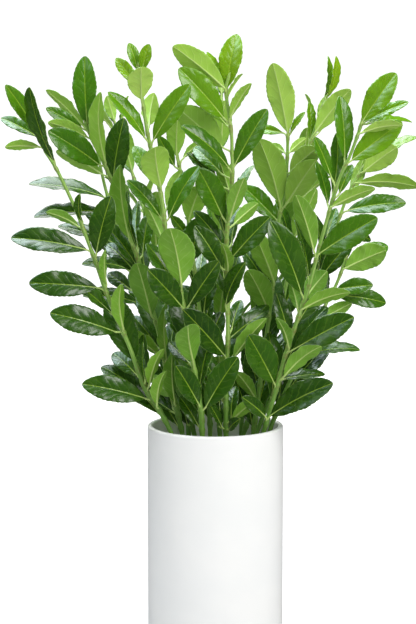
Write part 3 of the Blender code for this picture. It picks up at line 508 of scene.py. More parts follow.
def finish_mesh(mesh, name):
    """Closes off the modelling of a mesh, with its faces pointing out and its size in metres."""
    bmesh.ops.recalc_face_normals(mesh, faces=mesh.faces)
    bmesh.ops.scale(mesh, vec=(MM, MM, MM), verts=mesh.verts)
    data = bpy.data.meshes.new(name)
    mesh.to_mesh(data)
    mesh.free()
    return data


def blade_outline(s):
    """Half the blade's width at a share s of its length, as a share of the widest: wedge base, blunt tip."""
    return math.sin(math.pi * s**BLADE_SKEW) ** BLADE_FULLNESS if 0.0 < s < 1.0 else 0.0


def blade_point(leaf, s, t):
    """A point of the blade's upper face, s along it from base to tip and t across it from -1 to 1."""
    run = leaf.tip - leaf.base
    length = run.length
    along = run / length
    across = along.cross(leaf.up)
    half = max(leaf.width / 2 * blade_outline(s), STALK_HALF_WIDTH * (1 - s))
    rise = length * leaf.arch * 4 * s * (1 - s)
    rise += half * abs(t) * math.tan(leaf.fold)
    shift = WAVE_SHIFT if t > 0 else 0.0
    rise += leaf.wave * t * t * math.sin(math.pi * s) * math.sin(WAVE_TURNS * s + shift)
    return leaf.base + run * s + across * half * t + leaf.up * rise


def quad(a, b, c, d):
    """A face of four corners as two triangles."""
    return [(a, b, c), (a, c, d)]


def leaf_solid(leaf, grow=0.0, stalk=True):
    """Corners and triangles of one closed leaf. grow makes it larger all round, to test the gap about it."""
    run = (leaf.tip - leaf.base).normalized()
    across = run.cross(leaf.up)
    top = leaf.up * grow
    under = leaf.up * -(BLADE_THICKNESS + grow)
    corners = []

    def both_faces(point):
        corners.append(point + top)
        corners.append(point + under)
        return len(corners) - 2

    left = [both_faces(blade_point(leaf, s, -1) - across * grow) for s in EDGE_STATIONS]
    right = [both_faces(blade_point(leaf, s, 1) + across * grow) for s in EDGE_STATIONS]
    rib = both_faces(blade_point(leaf, RIB_STATION, 0))
    tip = both_faces(blade_point(leaf, 1, 0) + run * grow)
    sheet = [(left[0], right[0], rib)]
    rim = []
    for edge in (left, right):
        edge.append(tip)
        for a, b in zip(edge, edge[1:]):
            sheet.append((a, b, rib))
            rim += quad(a, b, b + 1, a + 1)
    triangles = sheet + [(a + 1, b + 1, c + 1) for a, b, c in sheet] + rim
    a, b = left[0], right[0]
    if not stalk:
        return corners, triangles + quad(a, b, b + 1, a + 1)
    half = across * (ROOT_HALF_WIDTH + grow)
    keel = leaf.up * -(ROOT_KEEL + grow)
    sunk = leaf.root - (leaf.base - leaf.root).normalized() * ROOT_SUNK
    root = len(corners)
    corners += [sunk - half + top, sunk + half + top, sunk + keel]
    triangles += quad(a, b, root + 1, root)
    triangles += quad(a, a + 1, root + 2, root)
    triangles += quad(b, b + 1, root + 2, root + 1)
    triangles += [(root, root + 1, root + 2), (a + 1, b + 1, root + 2)]
    return corners, triangles


def stem_place(samples, place, drop):
    """The stem's point and direction below the one seen nearest to a pixel, and how far up the stem it is."""
    index = nearest([to_view(sample) for sample in samples], Vector(place))
    travelled = 0.0
    while index > 0 and travelled < drop:
        travelled += (samples[index] - samples[index - 1]).length
        index -= 1
    return samples[index], run_at(samples, index), index / (len(samples) - 1)


def read_leaf(samples, reading, draw):
    """A leaf of a branch that faces the viewer, from its reading."""
    root, stem_run, share = stem_place(samples, reading.base, STALK_DROP)
    depth = -root.y
    side = math.copysign(1.0, reading.out)
    tip = from_view(reading.tip, depth + reading.out)
    base = from_view(reading.base, depth + reading.out * BASE_LEAD + side * BASE_OUT)
    stalk = base - root
    shortest, longest = STALK_LENGTHS
    stalk_length = max(shortest, min(longest, stalk.length))
    base = root + (stalk + (tip - root).normalized() * STALK_PULL).normalized() * stalk_length
    run = (tip - base).normalized()
    length = (tip - base).length
    facing = perpendicular(VIEW_EYE - base, run)
    edgewise = run.cross(facing)
    if edgewise.dot(stem_run) < 0:
        edgewise = -edgewise
    seen = abs(reading.seen) * VIEW_DISTANCE / VIEW_FOCAL
    width = max(seen / FULL_FACE, length * BLADE_RATIO * (1 - TIP_NARROWING * share))
    turned = seen / width
    up = facing * math.copysign(turned, reading.seen) + edgewise * math.sqrt(1 - turned * turned)
    second = facing.cross(run)
    return make_leaf(root, base, tip, up, width, draw, TOWARD_VIEWER, second)


def make_leaf(root, base, tip, up, width, draw, first, second):
    """A leaf with its own bend, fold and waves. first and second are the ways in which it may give way."""
    return Leaf(
        root=root,
        base=base,
        tip=tip,
        up=up.normalized(),
        width=width,
        arch=draw.uniform(*ARCHES),
        fold=draw.uniform(*FOLDS),
        wave=draw.uniform(*WAVES) * min(1.0, width / WAVY_WIDTH),
        first=first,
        second=second,
    )


def habit_leaf(samples, share, turn, length, lean, draw):
    """A leaf by the plant's habit: turned round the stem and leaning out from it by these angles."""
    index = min(int(share * (len(samples) - 1)), len(samples) - 2)
    root = samples[index]
    stem_run = (samples[index + 1] - root).normalized()
    outward = perpendicular(Vector((0.0, 1.0, 0.0)), stem_run)
    outward.rotate(Matrix.Rotation(turn, 3, stem_run))
    run = stem_run * math.cos(lean) + outward * math.sin(lean)
    stalk_run = (run + stem_run * STALK_UPTURN).normalized()
    base = root + stalk_run * HABIT_STALK
    tip = base + run * length
    up = perpendicular(stem_run - outward * FACE_TILT, run)
    width = length * BLADE_RATIO * draw.uniform(*WIDTH_SPREAD)
    return make_leaf(root, base, tip, up, width, draw, up, run.cross(up))


def habit_size(share, draw):
    """Length of a blade and its lean from the stem, at a share of the stem's height."""
    length = (LOW_BLADE + (HIGH_BLADE - LOW_BLADE) * share**SHORTENING) * draw.uniform(*LENGTH_SPREAD)
    lean = (LOW_LEAN + (HIGH_LEAN - LOW_LEAN) * share) * draw.uniform(*LEAN_SPREAD)
    return length, lean


def habit_leaves(samples, first_turn, draw):
    """Pairs of leaves up a whole stem, and two small ones at its tip."""
    leaves = []
    for pair in range(PAIRS):
        share = LOWEST_PAIR + (HIGHEST_PAIR - LOWEST_PAIR) * pair / (PAIRS - 1)
        turn = math.radians(first_turn + 90 * pair) + draw.uniform(-TURN_SPREAD, TURN_SPREAD)
        for half_turn in (0.0, math.pi):
            length, lean = habit_size(share, draw)
            leaves.append(habit_leaf(samples, share, turn + half_turn, length, lean, draw))
    for half_turn in (0.0, math.pi):
        turn = math.radians(first_turn) + half_turn
        leaves.append(habit_leaf(samples, 1.0, turn, TIP_BLADE, TIP_LEAN, draw))
    return leaves


def rear_leaves(samples, draw):
    """Leaves on the far side of a stem whose near side was read off the front view."""
    leaves = []
    for share, degrees in zip(REAR_SHARES, REAR_TURNS):
        turn = math.radians(degrees) + draw.uniform(-TURN_SPREAD, TURN_SPREAD)
        length, lean = habit_size(share, draw)
        leaves.append(habit_leaf(samples, share, turn, length, lean * REAR_LEAN, draw))
    return leaves


def nudges():
    """Small moves of a leaf's tip, in the order in which they are tried: along its first way of giving way,
    along the second, and a smaller leaf."""
    moves = []
    for size in SIZES:
        for second in SECOND_MOVES:
            for first in FIRST_MOVES:
                effort = abs(first) + SECOND_COST * abs(second) + SIZE_COST * (1 - size)
                moves.append((effort, first, second, size))
    return sorted(moves, key=lambda move: move[0])


NUDGES = nudges()


def stem_mesh(points, name):
    """A stem as a mesh, thinner toward its tip."""
    lengths = reaches(points)
    return tube(points, [stem_radius(length / lengths[-1]) for length in lengths], STEM_SIDES, name)


def nudged(leaf, first, second, size):
    """The leaf with its tip moved and its blade resized."""
    shift = leaf.first * first + leaf.second * second
    base = leaf.base + shift * BASE_FOLLOWS
    run = (leaf.tip + shift - base) * size
    if run.length > LONGEST_BLADE:
        run *= LONGEST_BLADE / run.length
    up = perpendicular(leaf.up, run.normalized())
    return leaf._replace(base=base, tip=base + run, up=up, width=leaf.width * size)


def box_of(corners):
    """The lowest and highest corners of the box round these."""
    low = Vector(min(corner[axis] for corner in corners) for axis in range(3))
    high = Vector(max(corner[axis] for corner in corners) for axis in range(3))
    return low, high


class Space:
    """What already stands in the bunch, so that a new leaf is given a clear place."""

    def __init__(self):
        self.things = []

    def add(self, owner, corners, triangles):
        self.things.append((owner, *box_of(corners), BVHTree.FromPolygons(corners, triangles)))

    def is_clear(self, owner, leaf):
        corners, triangles = leaf_solid(leaf, LEAF_GAP)
        low, high = box_of(corners)
        whole = BVHTree.FromPolygons(corners, triangles)
        blade = BVHTree.FromPolygons(*leaf_solid(leaf, LEAF_GAP, stalk=False))
        for other, other_low, other_high, tree in self.things:
            near = all(other_low[axis] < high[axis] and other_high[axis] > low[axis] for axis in range(3))
            if near and (blade if other == owner else whole).overlap(tree):
                return False
        return True

    def settle(self, owner, leaf):
        """The leaf at the nearest clear place, or None."""
        for _, first, second, size in NUDGES:
            trial = nudged(leaf, first, second, size)
            if self.is_clear(owner, trial):
                self.add(owner, *leaf_solid(trial))
                return trial
        return None


def mesh_triangles(data):
    """A mesh's corners in millimetres and its triangles."""
    data.calc_loop_triangles()
    corners = [vertex.co / MM for vertex in data.vertices]
    return corners, [tuple(triangle.vertices) for triangle in data.loop_triangles]


def grow_stems():
    """Each branch's stem: its points from the cut end up, and close samples of it above the vase's mouth."""
    above_mouth = {name: front_stem(shoot) for name, shoot in FRONT_SHOOTS.items()}
    above_mouth.update({name: back_stem(shoot) for name, shoot in BACK_SHOOTS.items()})
    placed = []
    stems = {}
    for name, points in above_mouth.items():
        foot = choose_foot(points[0], points[1], placed)
        placed.append((foot, points[0]))
        stems[name] = ([foot, *points], smooth_path(points))
    return stems


def grow_leaves(stems, space):
    """Every branch's leaves, each in a clear place."""
    leaves = {name: [] for name in stems}
    wanted = []
    for name, shoot in FRONT_SHOOTS.items():
        draw = random.Random(name)
        samples = stems[name][1]
        wanted += [(name, read_leaf(samples, Reading(*row), draw)) for row in shoot.leaves]
    for name, shoot in BACK_SHOOTS.items():
        draw = random.Random(name)
        wanted += [(name, leaf) for leaf in habit_leaves(stems[name][1], shoot.turn, draw)]
    for name in FRONT_SHOOTS:
        draw = random.Random(name + " rear")
        wanted += [(name, leaf) for leaf in rear_leaves(stems[name][1], draw)]
    for name, leaf in wanted:
        settled = space.settle(name, leaf)
        if settled:
            leaves[name].append(settled)
    return leaves


def turned(profile, sides, name):
    """A solid turned round the upright axis from a profile of (radius, height), flat at both its ends."""
    mesh = bmesh.new()
    rings = [[mesh.verts.new(place) for place in circle(*turn, sides)] for turn in profile]
    mesh.faces.new(rings[0])
    mesh.faces.new(rings[-1])
    add_bands(mesh, rings)
    return finish_mesh(mesh, name)


def arc(centre, radius, start, end, steps):
    """Points of an arc in a profile, between two angles in degrees."""
    points = []
    for step in range(steps + 1):
        angle = math.radians(start + (end - start) * step / steps)
        points.append((centre[0] + radius * math.cos(angle), centre[1] + radius * math.sin(angle)))
    return points


# Fine blades: rounded teeth along the edge, low near the base, a groove over the midrib and plump halves
TEETH = 12
TOOTH_LENGTH = 5.0
TOOTH_STEPS = 4
TOOTH_NOTCHES = (1.0, 0.4, 0.0, 0.15)
TOOTH_DEPTH = 0.038
TOOTHLESS = 0.15
FEWEST_TEETH = 5
FIRST_TEETH = 0.35
TEETH_GROW = 3
BASE_STEPS = 6
TIP_STATIONS = (0.992, 0.998)
BLADE_COLUMNS = (-1.0, -0.87, -0.62, -0.32, -0.07, 0.0, 0.07, 0.32, 0.62, 0.87, 1.0)
NOTCH_POWER = 7
FINE_THICKNESS = 0.6
EDGE_THINNING = 0.5
FLATTER = 0.7
BULGE = 0.2
GROOVE_DEPTH = 0.3
GROOVE_WIDTH = 0.9
RIPPLE = 0.35
RIPPLE_TURNS = 2.3 * WAVE_TURNS

# Fine stalks and midribs
STALK_SIDES = 6
STALK_STEPS = 7
STALK_LEAVE = 0.5
STALK_CURVE = 0.4
STALK_ROOT_RADIUS = 1.15
STALK_RADIUS = 0.85
RIB_STEPS = 9
RIB_END = 0.9
RIB_END_RADIUS = 0.26
RIB_TAPER = 1.5
RIB_DEPTH = 0.5

# Fine stems
FINE_STEM_SIDES = 12
FINE_STEM_PITCH = 2.5
NODE_SWELL = 0.38
NODE_LENGTH = 2.6
STEM_RIDGES = 0.05
RIDGES = 4
RING_START = Vector((1.0, 0.02, 0.03))
STRAIGHT_SHARE = 0.75

# Buds: their length, and how thick they are at shares of it, as shares of the shoot's tip
BUD_LENGTH = 7.0
BUD = ((0.25, 1.25), (0.55, 0.95), (0.8, 0.5), (1.0, 0.08))

# How far up its stem a leaf starts to stay young, over what stretch it gets younger, and how much that varies
YOUNG_FROM = 0.35
YOUNG_SPAN = 0.6
AGE_SPREAD = 0.12
STEM_AGE = 0.5

# Fine vase and water
FINE_SIDES = 144
FINE_LIP_STEPS = 8
FINE_CORNER_STEPS = 6
FINE_HOLE_SIDES = 12
MENISCUS = 1.2
SHARP_EDGE = math.radians(35)

# Colours. A pair is the two ends of what varies: from leaf to leaf, from stem to stem, or over a surface
NEW_GREEN = ((0.22, 0.40, 0.002), (0.13, 0.31, 0.002))
FULL_GREEN = ((0.09, 0.26, 0.002), (0.05, 0.175, 0.002))
OLD_GREEN = ((0.03, 0.105, 0.002), (0.013, 0.053, 0.002))
CLOUD_GREEN = (0.09, 0.2, 0.006)
VEIN_GREEN = (0.17, 0.32, 0.02)
RIB_GREEN = (0.32, 0.5, 0.03)
RIM_GREEN = (0.30, 0.45, 0.1)
UNDER_NEW = ((0.36, 0.55, 0.09), (0.26, 0.46, 0.045))
UNDER_OLD = ((0.21, 0.42, 0.035), (0.12, 0.29, 0.02))
UNDER_CLOUD = (0.27, 0.43, 0.1)
UNDER_VEIN = (0.42, 0.58, 0.16)
UNDER_RIB = (0.5, 0.66, 0.2)
UNDER_RIM = (0.4, 0.55, 0.22)
STEM_GREEN = ((0.25, 0.45, 0.07), (0.18, 0.37, 0.055))
STREAK_GREEN = (0.32, 0.48, 0.12)
NODE_BROWN = (0.2, 0.13, 0.05)
FLECK_BROWN = (0.32, 0.3, 0.14)
# Painted shade: the stems' colour at and inside the vase's mouth
SHADED_STEM_GREEN = (0.06, 0.2, 0.01)
STALK_GREEN = (0.46, 0.62, 0.18)
GLAZE_WHITE = ((0.83, 0.83, 0.82), (0.80, 0.805, 0.80))
SPECK_GREY = (0.55, 0.54, 0.5)
BARE_CLAY = (0.6, 0.56, 0.5)
WATER_TINT = ((0.86, 0.94, 0.9), (0.8, 0.9, 0.84))
FLOOR_GREY = ((0.56, 0.56, 0.56), (0.54, 0.54, 0.545))
FLOOR_IN_GLOSS = (0.04, 0.04, 0.04)

# Side veins: how many, by how many of their spacings they slant toward the tip, and over how many
# millimetres they wobble
VEINS = 7.0
VEIN_SLANT = 1.6
VEIN_WOBBLE = 9.0

# Studio: where its lights aim and how far the floor reaches, in metres, how much the floor glows beside the
# vase's foot, where its lower glow paints shade round the foot, and further out, and how bright the
# surroundings are to a surface and in its reflections
LIGHT_AIM = Vector((0.0, 0.0, 0.35))
FLOOR_RADIUS = 60.0
# Painted shade: the floor's lower glow round the vase's foot
FOOT_SHADE_GLOW = 0.35
FLOOR_GLOW = 0.8
WORLD_LIGHT = 0.58
WORLD_SHINE = 0.03

UPPER, UNDER, STALK = range(3)


class Growth:
    """Corners and faces of one branch, and what its materials read at each corner."""

    def __init__(self):
        self.corners = []
        self.faces = []
        self.slots = []
        self.smooth = []
        self.marks = {"along": [], "across": [], "aside": [], "age": [], "seed": []}

    def add(self, corners, faces, slots, smooth, age, seed, **marks):
        start = len(self.corners)
        self.corners += corners
        self.faces += [tuple(start + index for index in face) for face in faces]
        self.slots += slots
        self.smooth += smooth
        marks.update(age=[age] * len(corners), seed=[seed] * len(corners))
        for name, values in marks.items():
            self.marks[name] += values

    def mesh(self, name):
        """The whole branch as one mesh in metres."""
        data = bpy.data.meshes.new(name)
        data.from_pydata([[axis * MM for axis in corner] for corner in self.corners], [], self.faces)
        data.polygons.foreach_set("material_index", self.slots)
        data.polygons.foreach_set("use_smooth", self.smooth)
        for mark, values in self.marks.items():
            data.attributes.new(mark, "FLOAT", "POINT").data.foreach_set("value", values)
        data.update()
        return data


def blade_rows(length):
    """Places of a fine blade's rows from base to tip, and how deep each edge is notched there."""
    teeth = max(FEWEST_TEETH, min(TEETH, round(length / TOOTH_LENGTH)))
    places = [TOOTHLESS * step / BASE_STEPS for step in range(BASE_STEPS)]
    notches = [0.0] * BASE_STEPS
    for step in range(teeth * TOOTH_STEPS):
        share = step / (teeth * TOOTH_STEPS)
        places.append(TOOTHLESS + (1 - TOOTHLESS) * share)
        notches.append(TOOTH_NOTCHES[step % TOOTH_STEPS] * min(1.0, FIRST_TEETH + TEETH_GROW * share))
    places += TIP_STATIONS
    notches += [0.0] * len(TIP_STATIONS)
    return np.array(places), np.array(notches)


def blade_surface(leaf, rows, notches, columns, phase):
    """Points of the blade's upper face, in rows and columns, the way up, and how far each lies aside."""
    base = np.array(leaf.base)
    run = np.array(leaf.tip) - base
    length = np.linalg.norm(run)
    up = np.array(leaf.up)
    across = np.cross(run / length, up)
    s = rows[:, None]
    t = columns[None, :]
    outline = np.array([blade_outline(place) for place in rows])[:, None]
    half = np.maximum(leaf.width / 2 * outline, STALK_HALF_WIDTH * (1 - s))
    notch = TOOTH_DEPTH * notches[:, None] * np.abs(t) ** NOTCH_POWER
    reach = half * (t - np.sign(t) * notch)
    middle = np.sin(np.pi * s)
    rise = length * leaf.arch * 4 * s * (1 - s)
    rise = rise + half * np.abs(t) * math.tan(leaf.fold * FLATTER)
    shift = np.where(t > 0, WAVE_SHIFT, 0.0)
    rise = rise + leaf.wave * t**2 * middle * np.sin(WAVE_TURNS * s + shift)
    rise = rise + RIPPLE * np.abs(t) ** 3 * middle * np.sin(RIPPLE_TURNS * s + phase + 2 * shift)
    rise = rise + BULGE * half * (np.abs(t) - t**2)
    rise = rise - GROOVE_DEPTH * middle * np.exp(-((reach / GROOVE_WIDTH) ** 2))
    return (base + run * s[..., None] + across * reach[..., None] + up * rise[..., None]), up, reach


def add_blade(growth, leaf, age, seed):
    """A fine blade: both faces, the edge between them, and a closed tip."""
    length = (leaf.tip - leaf.base).length
    rows, notches = blade_rows(length)
    columns = np.array(BLADE_COLUMNS)
    top, up, reach = blade_surface(leaf, rows, notches, columns, seed * math.tau)
    thickness = FINE_THICKNESS * (1 - EDGE_THINNING * columns**4)
    under = top - up * thickness[None, :, None]
    tip = blade_surface(leaf, np.array([1.0]), np.array([0.0]), np.array([0.0]), 0.0)[0][0, 0]
    height, width = len(rows), len(columns)
    count = height * width
    corners = top.reshape(-1, 3).tolist() + under.reshape(-1, 3).tolist()
    corners += [tip.tolist(), (tip - up * FINE_THICKNESS / 2).tolist()]
    faces = []
    slots = []
    for row in range(height - 1):
        for column in range(width - 1):
            a = row * width + column
            b = a + width
            faces.append((a, a + 1, b + 1, b))
            faces.append((count + a, count + b, count + b + 1, count + a + 1))
            slots += [UPPER, UNDER]
    last = (height - 1) * width
    for column in range(width - 1):
        a = last + column
        faces.append((a, a + 1, 2 * count))
        faces.append((count + a + 1, count + a, 2 * count + 1))
        slots += [UPPER, UNDER]
    smooth = [True] * len(faces)
    for row in range(height - 1):
        for a, b in ((row * width, (row + 1) * width), ((row + 2) * width - 1, (row + 1) * width - 1)):
            faces.append((a, b, count + b, count + a))
    faces.append((last, 2 * count, 2 * count + 1, count + last))
    faces.append((2 * count, last + width - 1, count + last + width - 1, 2 * count + 1))
    for column in range(width - 1):
        faces.append((column + 1, column, count + column, count + column + 1))
    rim = len(faces) - len(smooth)
    slots += [UPPER] * rim
    smooth += [False] * rim
    along = np.repeat(rows, width).tolist()
    across = np.tile(columns, height).tolist()
    aside = np.abs(reach).reshape(-1).tolist()
    growth.add(
        corners, faces, slots, smooth, age, seed,
        along=2 * along + [1.0, 1.0],
        across=2 * across + [0.0, 0.0],
        aside=2 * aside + [0.0, 0.0],
    )


def add_tube(growth, points, radii, sides, ridges, along, age, seed):
    """A closed round tube in the stalk's material, with low ridges along it."""
    corners = []
    turns = []
    for point, radius, (_, first, second) in zip(points, radii, ring_frames(points, RING_START)):
        for side in range(sides):
            angle = math.tau * side / sides
            reach = radius * (1 + ridges * math.cos(RIDGES * angle))
            corners.append(tuple(point + (first * math.cos(angle) + second * math.sin(angle)) * reach))
            turns.append(side / sides)
    faces = []
    for ring in range(len(points) - 1):
        for side in range(sides):
            a = ring * sides + side
            b = ring * sides + (side + 1) % sides
            faces.append((a, b, b + sides, a + sides))
    last = (len(points) - 1) * sides
    faces += [tuple(reversed(range(sides))), tuple(range(last, last + sides))]
    growth.add(
        corners, faces, [STALK] * len(faces), [True] * (len(faces) - 2) + [False] * 2, age, seed,
        along=[place for place in along for _ in range(sides)],
        across=turns,
        aside=[0.0] * len(corners),
    )


def bezier(a, b, c, d, t):
    """A point of a cubic curve."""
    return a * (1 - t) ** 3 + b * 3 * t * (1 - t) ** 2 + c * 3 * t**2 * (1 - t) + d * t**3


def add_stalk(growth, leaf, stem_run, age, seed):
    """The leaf's stalk, curving out of the stem, and the midrib that it runs on into."""
    run = (leaf.tip - leaf.base).normalized()
    stalk = leaf.base - leaf.root
    leave = (stalk.normalized() + stem_run * STALK_LEAVE).normalized()
    pull = stalk.length * STALK_CURVE
    points = []
    radii = []
    for step in range(STALK_STEPS):
        t = step / STALK_STEPS
        place = bezier(leaf.root, leaf.root + leave * pull, leaf.base - run * pull, leaf.base, t)
        points.append(place - leaf.up * RIB_DEPTH * t)
        radii.append(STALK_ROOT_RADIUS + (STALK_RADIUS - STALK_ROOT_RADIUS) * min(1.0, 2 * t))
    places = np.array([RIB_END * step / RIB_STEPS for step in range(RIB_STEPS + 1)])
    spine = blade_surface(leaf, places, np.zeros(len(places)), np.array([0.0]), 0.0)[0][:, 0]
    for place, point in zip(places, spine):
        points.append(Vector(point) - leaf.up * RIB_DEPTH)
        radii.append(RIB_END_RADIUS + (STALK_RADIUS - RIB_END_RADIUS) * (1 - place / RIB_END) ** RIB_TAPER)
    add_tube(growth, points, radii, STALK_SIDES, 0.0, [-1.0] * len(points), age, seed)


def add_stem(growth, points, samples, roots, seed):
    """A fine stem from its cut end to the bud at its tip, a little swollen where leaves leave it."""
    straight = points[0].lerp(points[1], STRAIGHT_SHARE)
    bend = smooth_path([straight, points[1], samples[STEM_STEPS]])
    path = [points[0]] + bend[:STEM_STEPS + 1] + samples[1:]
    reach = reaches(path)
    whole = reach[-1]
    knots = [reach[nearest(path, root)] for root in roots]
    fine = []
    radii = []
    along = []
    count = int(whole / FINE_STEM_PITCH)
    segment = 0
    for step in range(count + 1):
        place = whole * step / count
        while reach[segment + 1] < place and segment < len(path) - 2:
            segment += 1
        share = (place - reach[segment]) / (reach[segment + 1] - reach[segment])
        fine.append(path[segment].lerp(path[segment + 1], share))
        near = min(abs(place - knot) for knot in knots)
        radii.append(stem_radius(place / whole) * (1 + NODE_SWELL * math.exp(-((near / NODE_LENGTH) ** 2))))
        along.append(near)
    heading = (fine[-1] - fine[-2]).normalized()
    tip = fine[-1]
    for share, size in BUD:
        fine.append(tip + heading * BUD_LENGTH * share)
        radii.append(SHOOT_TIP_RADIUS * size)
        along.append(0.0)
    fine[0].z = points[0].z
    add_tube(growth, fine, radii, FINE_STEM_SIDES, STEM_RIDGES, along, STEM_AGE, seed)


def leaf_age(fresh, share, draw):
    """0 for new bright growth at a fresh branch's tip, 1 for an old dark leaf."""
    young = fresh * max(0.0, min(1.0, (share - YOUNG_FROM) / YOUNG_SPAN))
    return max(0.0, min(1.0, 1 - young + draw.uniform(-AGE_SPREAD, AGE_SPREAD)))


def branch_mesh(name, points, samples, leaves):
    """One branch: its stem, and each leaf with its stalk."""
    fresh = (FRONT_SHOOTS.get(name) or BACK_SHOOTS.get(name)).fresh
    draw = random.Random(name + " looks")
    growth = Growth()
    add_stem(growth, points, samples, [leaf.root for leaf in leaves], draw.random())
    for leaf in leaves:
        index = nearest(samples, leaf.root)
        age = leaf_age(fresh, index / (len(samples) - 1), draw)
        seed = draw.random()
        add_stalk(growth, leaf, run_at(samples, index), age, seed)
        add_blade(growth, leaf, age, seed)
    return growth.mesh(name + "_fine")


def vase_mesh(sides, lip_steps, corner_steps, name):
    """The vase's wall, floor and rounded lip."""
    inner = VASE_RADIUS - VASE_WALL
    profile = [(VASE_RADIUS - FOOT_BEVEL, 0.0), (VASE_RADIUS, FOOT_BEVEL)]
    profile += arc((VASE_RADIUS - LIP_ROUND, VASE_HEIGHT - LIP_ROUND), LIP_ROUND, 0, 90, lip_steps)
    profile += arc((inner + LIP_ROUND, VASE_HEIGHT - LIP_ROUND), LIP_ROUND, 90, 180, lip_steps)
    profile += arc((inner - INNER_ROUND, VASE_FLOOR + INNER_ROUND), INNER_ROUND, 0, -90, corner_steps)
    return turned(profile, sides, name)


def water_mesh():
    """The water, drawn up a little where it meets the wall."""
    radius = VASE_RADIUS - VASE_WALL - CLEARANCE
    bottom = VASE_FLOOR + CLEARANCE
    profile = arc((radius - INNER_ROUND, bottom + INNER_ROUND), INNER_ROUND, -90, 0, FINE_CORNER_STEPS)
    profile.append((radius, WATER_LEVEL + MENISCUS))
    for step in range(1, FINE_LIP_STEPS + 1):
        fall = step / FINE_LIP_STEPS
        profile.append((radius - 4 * MENISCUS * fall, WATER_LEVEL + MENISCUS * (1 - fall) ** 3))
    return turned(profile, FINE_SIDES, "water_fine")


def stem_hole(foot, mouth):
    """What a stem takes out of the water."""
    run = (mouth - foot) / (mouth.z - foot.z)
    low = foot - run * HOLE_MARGIN
    high = foot + run * (WATER_LEVEL + HOLE_MARGIN - foot.z)
    radius = CUT_END_RADIUS + CLEARANCE
    return tube([low, high], [radius, radius], FINE_HOLE_SIDES, "stem_hole")


def add_object(name, data, *materials):
    """An object of this mesh in the scene."""
    for made_of in materials:
        data.materials.append(made_of)
    thing = bpy.data.objects.new(name, data)
    bpy.context.scene.collection.objects.link(thing)
    return thing


def cut_holes(body, meshes):
    """Takes every one of these meshes out of a body."""
    collection = bpy.data.collections.new("stem_holes")
    bpy.context.scene.collection.children.link(collection)
    for data in meshes:
        collection.objects.link(bpy.data.objects.new(data.name, data))
    modifier = body.modifiers.new("holes", "BOOLEAN")
    modifier.operation = "DIFFERENCE"
    modifier.operand_type = "COLLECTION"
    modifier.collection = collection
    modifier.solver = "EXACT"
    shaped = bpy.data.meshes.new_from_object(body.evaluated_get(bpy.context.evaluated_depsgraph_get()))
    body.modifiers.remove(modifier)
    body.data = shaped
    for thing in list(collection.objects):
        bpy.data.objects.remove(thing)
    bpy.data.collections.remove(collection)


def shade_round(data):
    """Smooth shading, with sharp edges left crisp."""
    data.shade_smooth()
    data.set_sharp_from_angle(angle=SHARP_EDGE)


class Paint:
    """One material's shader nodes, added as its colour and surface are worked out."""

    def __init__(self, name):
        self.material = bpy.data.materials.new(name)
        self.material.use_nodes = True
        self.tree = self.material.node_tree
        self.shader = self.tree.nodes["Principled BSDF"]

    def put(self, socket, value):
        if isinstance(value, bpy.types.NodeSocket):
            self.tree.links.new(value, socket)
        elif hasattr(value, "__len__"):
            opaque = (1.0,) * (len(socket.default_value) - len(value))
            socket.default_value = (*value, *opaque)
        else:
            socket.default_value = value

    def set(self, **values):
        for name, value in values.items():
            self.put(self.shader.inputs[name.replace("_", " ")], value)

    def mark(self, name):
        node = self.tree.nodes.new("ShaderNodeAttribute")
        node.attribute_name = name
        return node.outputs["Fac"]

    def place(self):
        return self.tree.nodes.new("ShaderNodeTexCoord").outputs["Object"]

    def calc(self, operation, a, b=0.0, c=0.0):
        node = self.tree.nodes.new("ShaderNodeMath")
        node.operation = operation
        for socket, value in zip(node.inputs, (a, b, c)):
            self.put(socket, value)
        return node.outputs[0]

    def scale(self, value, low, high, to_low=0.0, to_high=1.0, smooth=True):
        node = self.tree.nodes.new("ShaderNodeMapRange")
        node.interpolation_type = "SMOOTHSTEP" if smooth else "LINEAR"
        for socket, number in zip(node.inputs, (value, low, high, to_low, to_high)):
            self.put(socket, number)
        return node.outputs[0]

    def mix(self, share, a, b):
        node = self.tree.nodes.new("ShaderNodeMix")
        node.data_type = "RGBA"
        self.put(node.inputs["Factor"], share)
        self.put(node.inputs[6], a)
        self.put(node.inputs[7], b)
        return node.outputs[2]

    def tint(self, colour, mask, share, shade):
        """The colour, with a share of a shade over it where the mask is 1."""
        return self.mix(self.calc("MULTIPLY", mask, share), colour, shade)

    def layers(self, *layers):
        """Values added up, each times its weight."""
        value, weight = layers[0]
        total = self.calc("MULTIPLY", value, weight)
        for value, weight in layers[1:]:
            total = self.calc("MULTIPLY_ADD", value, weight, total)
        return total

    def height(self):
        node = self.tree.nodes.new("ShaderNodeSeparateXYZ")
        self.put(node.inputs[0], self.place())
        return node.outputs["Z"]

    def noise(self, size, detail=3.0, roughness=0.5, stretch=(1.0, 1.0, 1.0)):
        """Cloudy noise whose patches are about this many millimetres across."""
        mapping = self.tree.nodes.new("ShaderNodeMapping")
        self.put(mapping.inputs["Vector"], self.place())
        mapping.inputs["Scale"].default_value = stretch
        node = self.tree.nodes.new("ShaderNodeTexNoise")
        self.put(node.inputs["Vector"], mapping.outputs[0])
        node.inputs["Scale"].default_value = 1 / (size * MM)
        node.inputs["Detail"].default_value = detail
        node.inputs["Roughness"].default_value = roughness
        return node.outputs["Fac"]

    def bump(self, height, depth, strength=1.0):
        """Bumps this many millimetres deep where the height goes from 0 to 1."""
        node = self.tree.nodes.new("ShaderNodeBump")
        self.put(node.inputs["Height"], height)
        node.inputs["Distance"].default_value = depth * MM
        node.inputs["Strength"].default_value = strength
        self.put(self.shader.inputs["Normal"], node.outputs["Normal"])


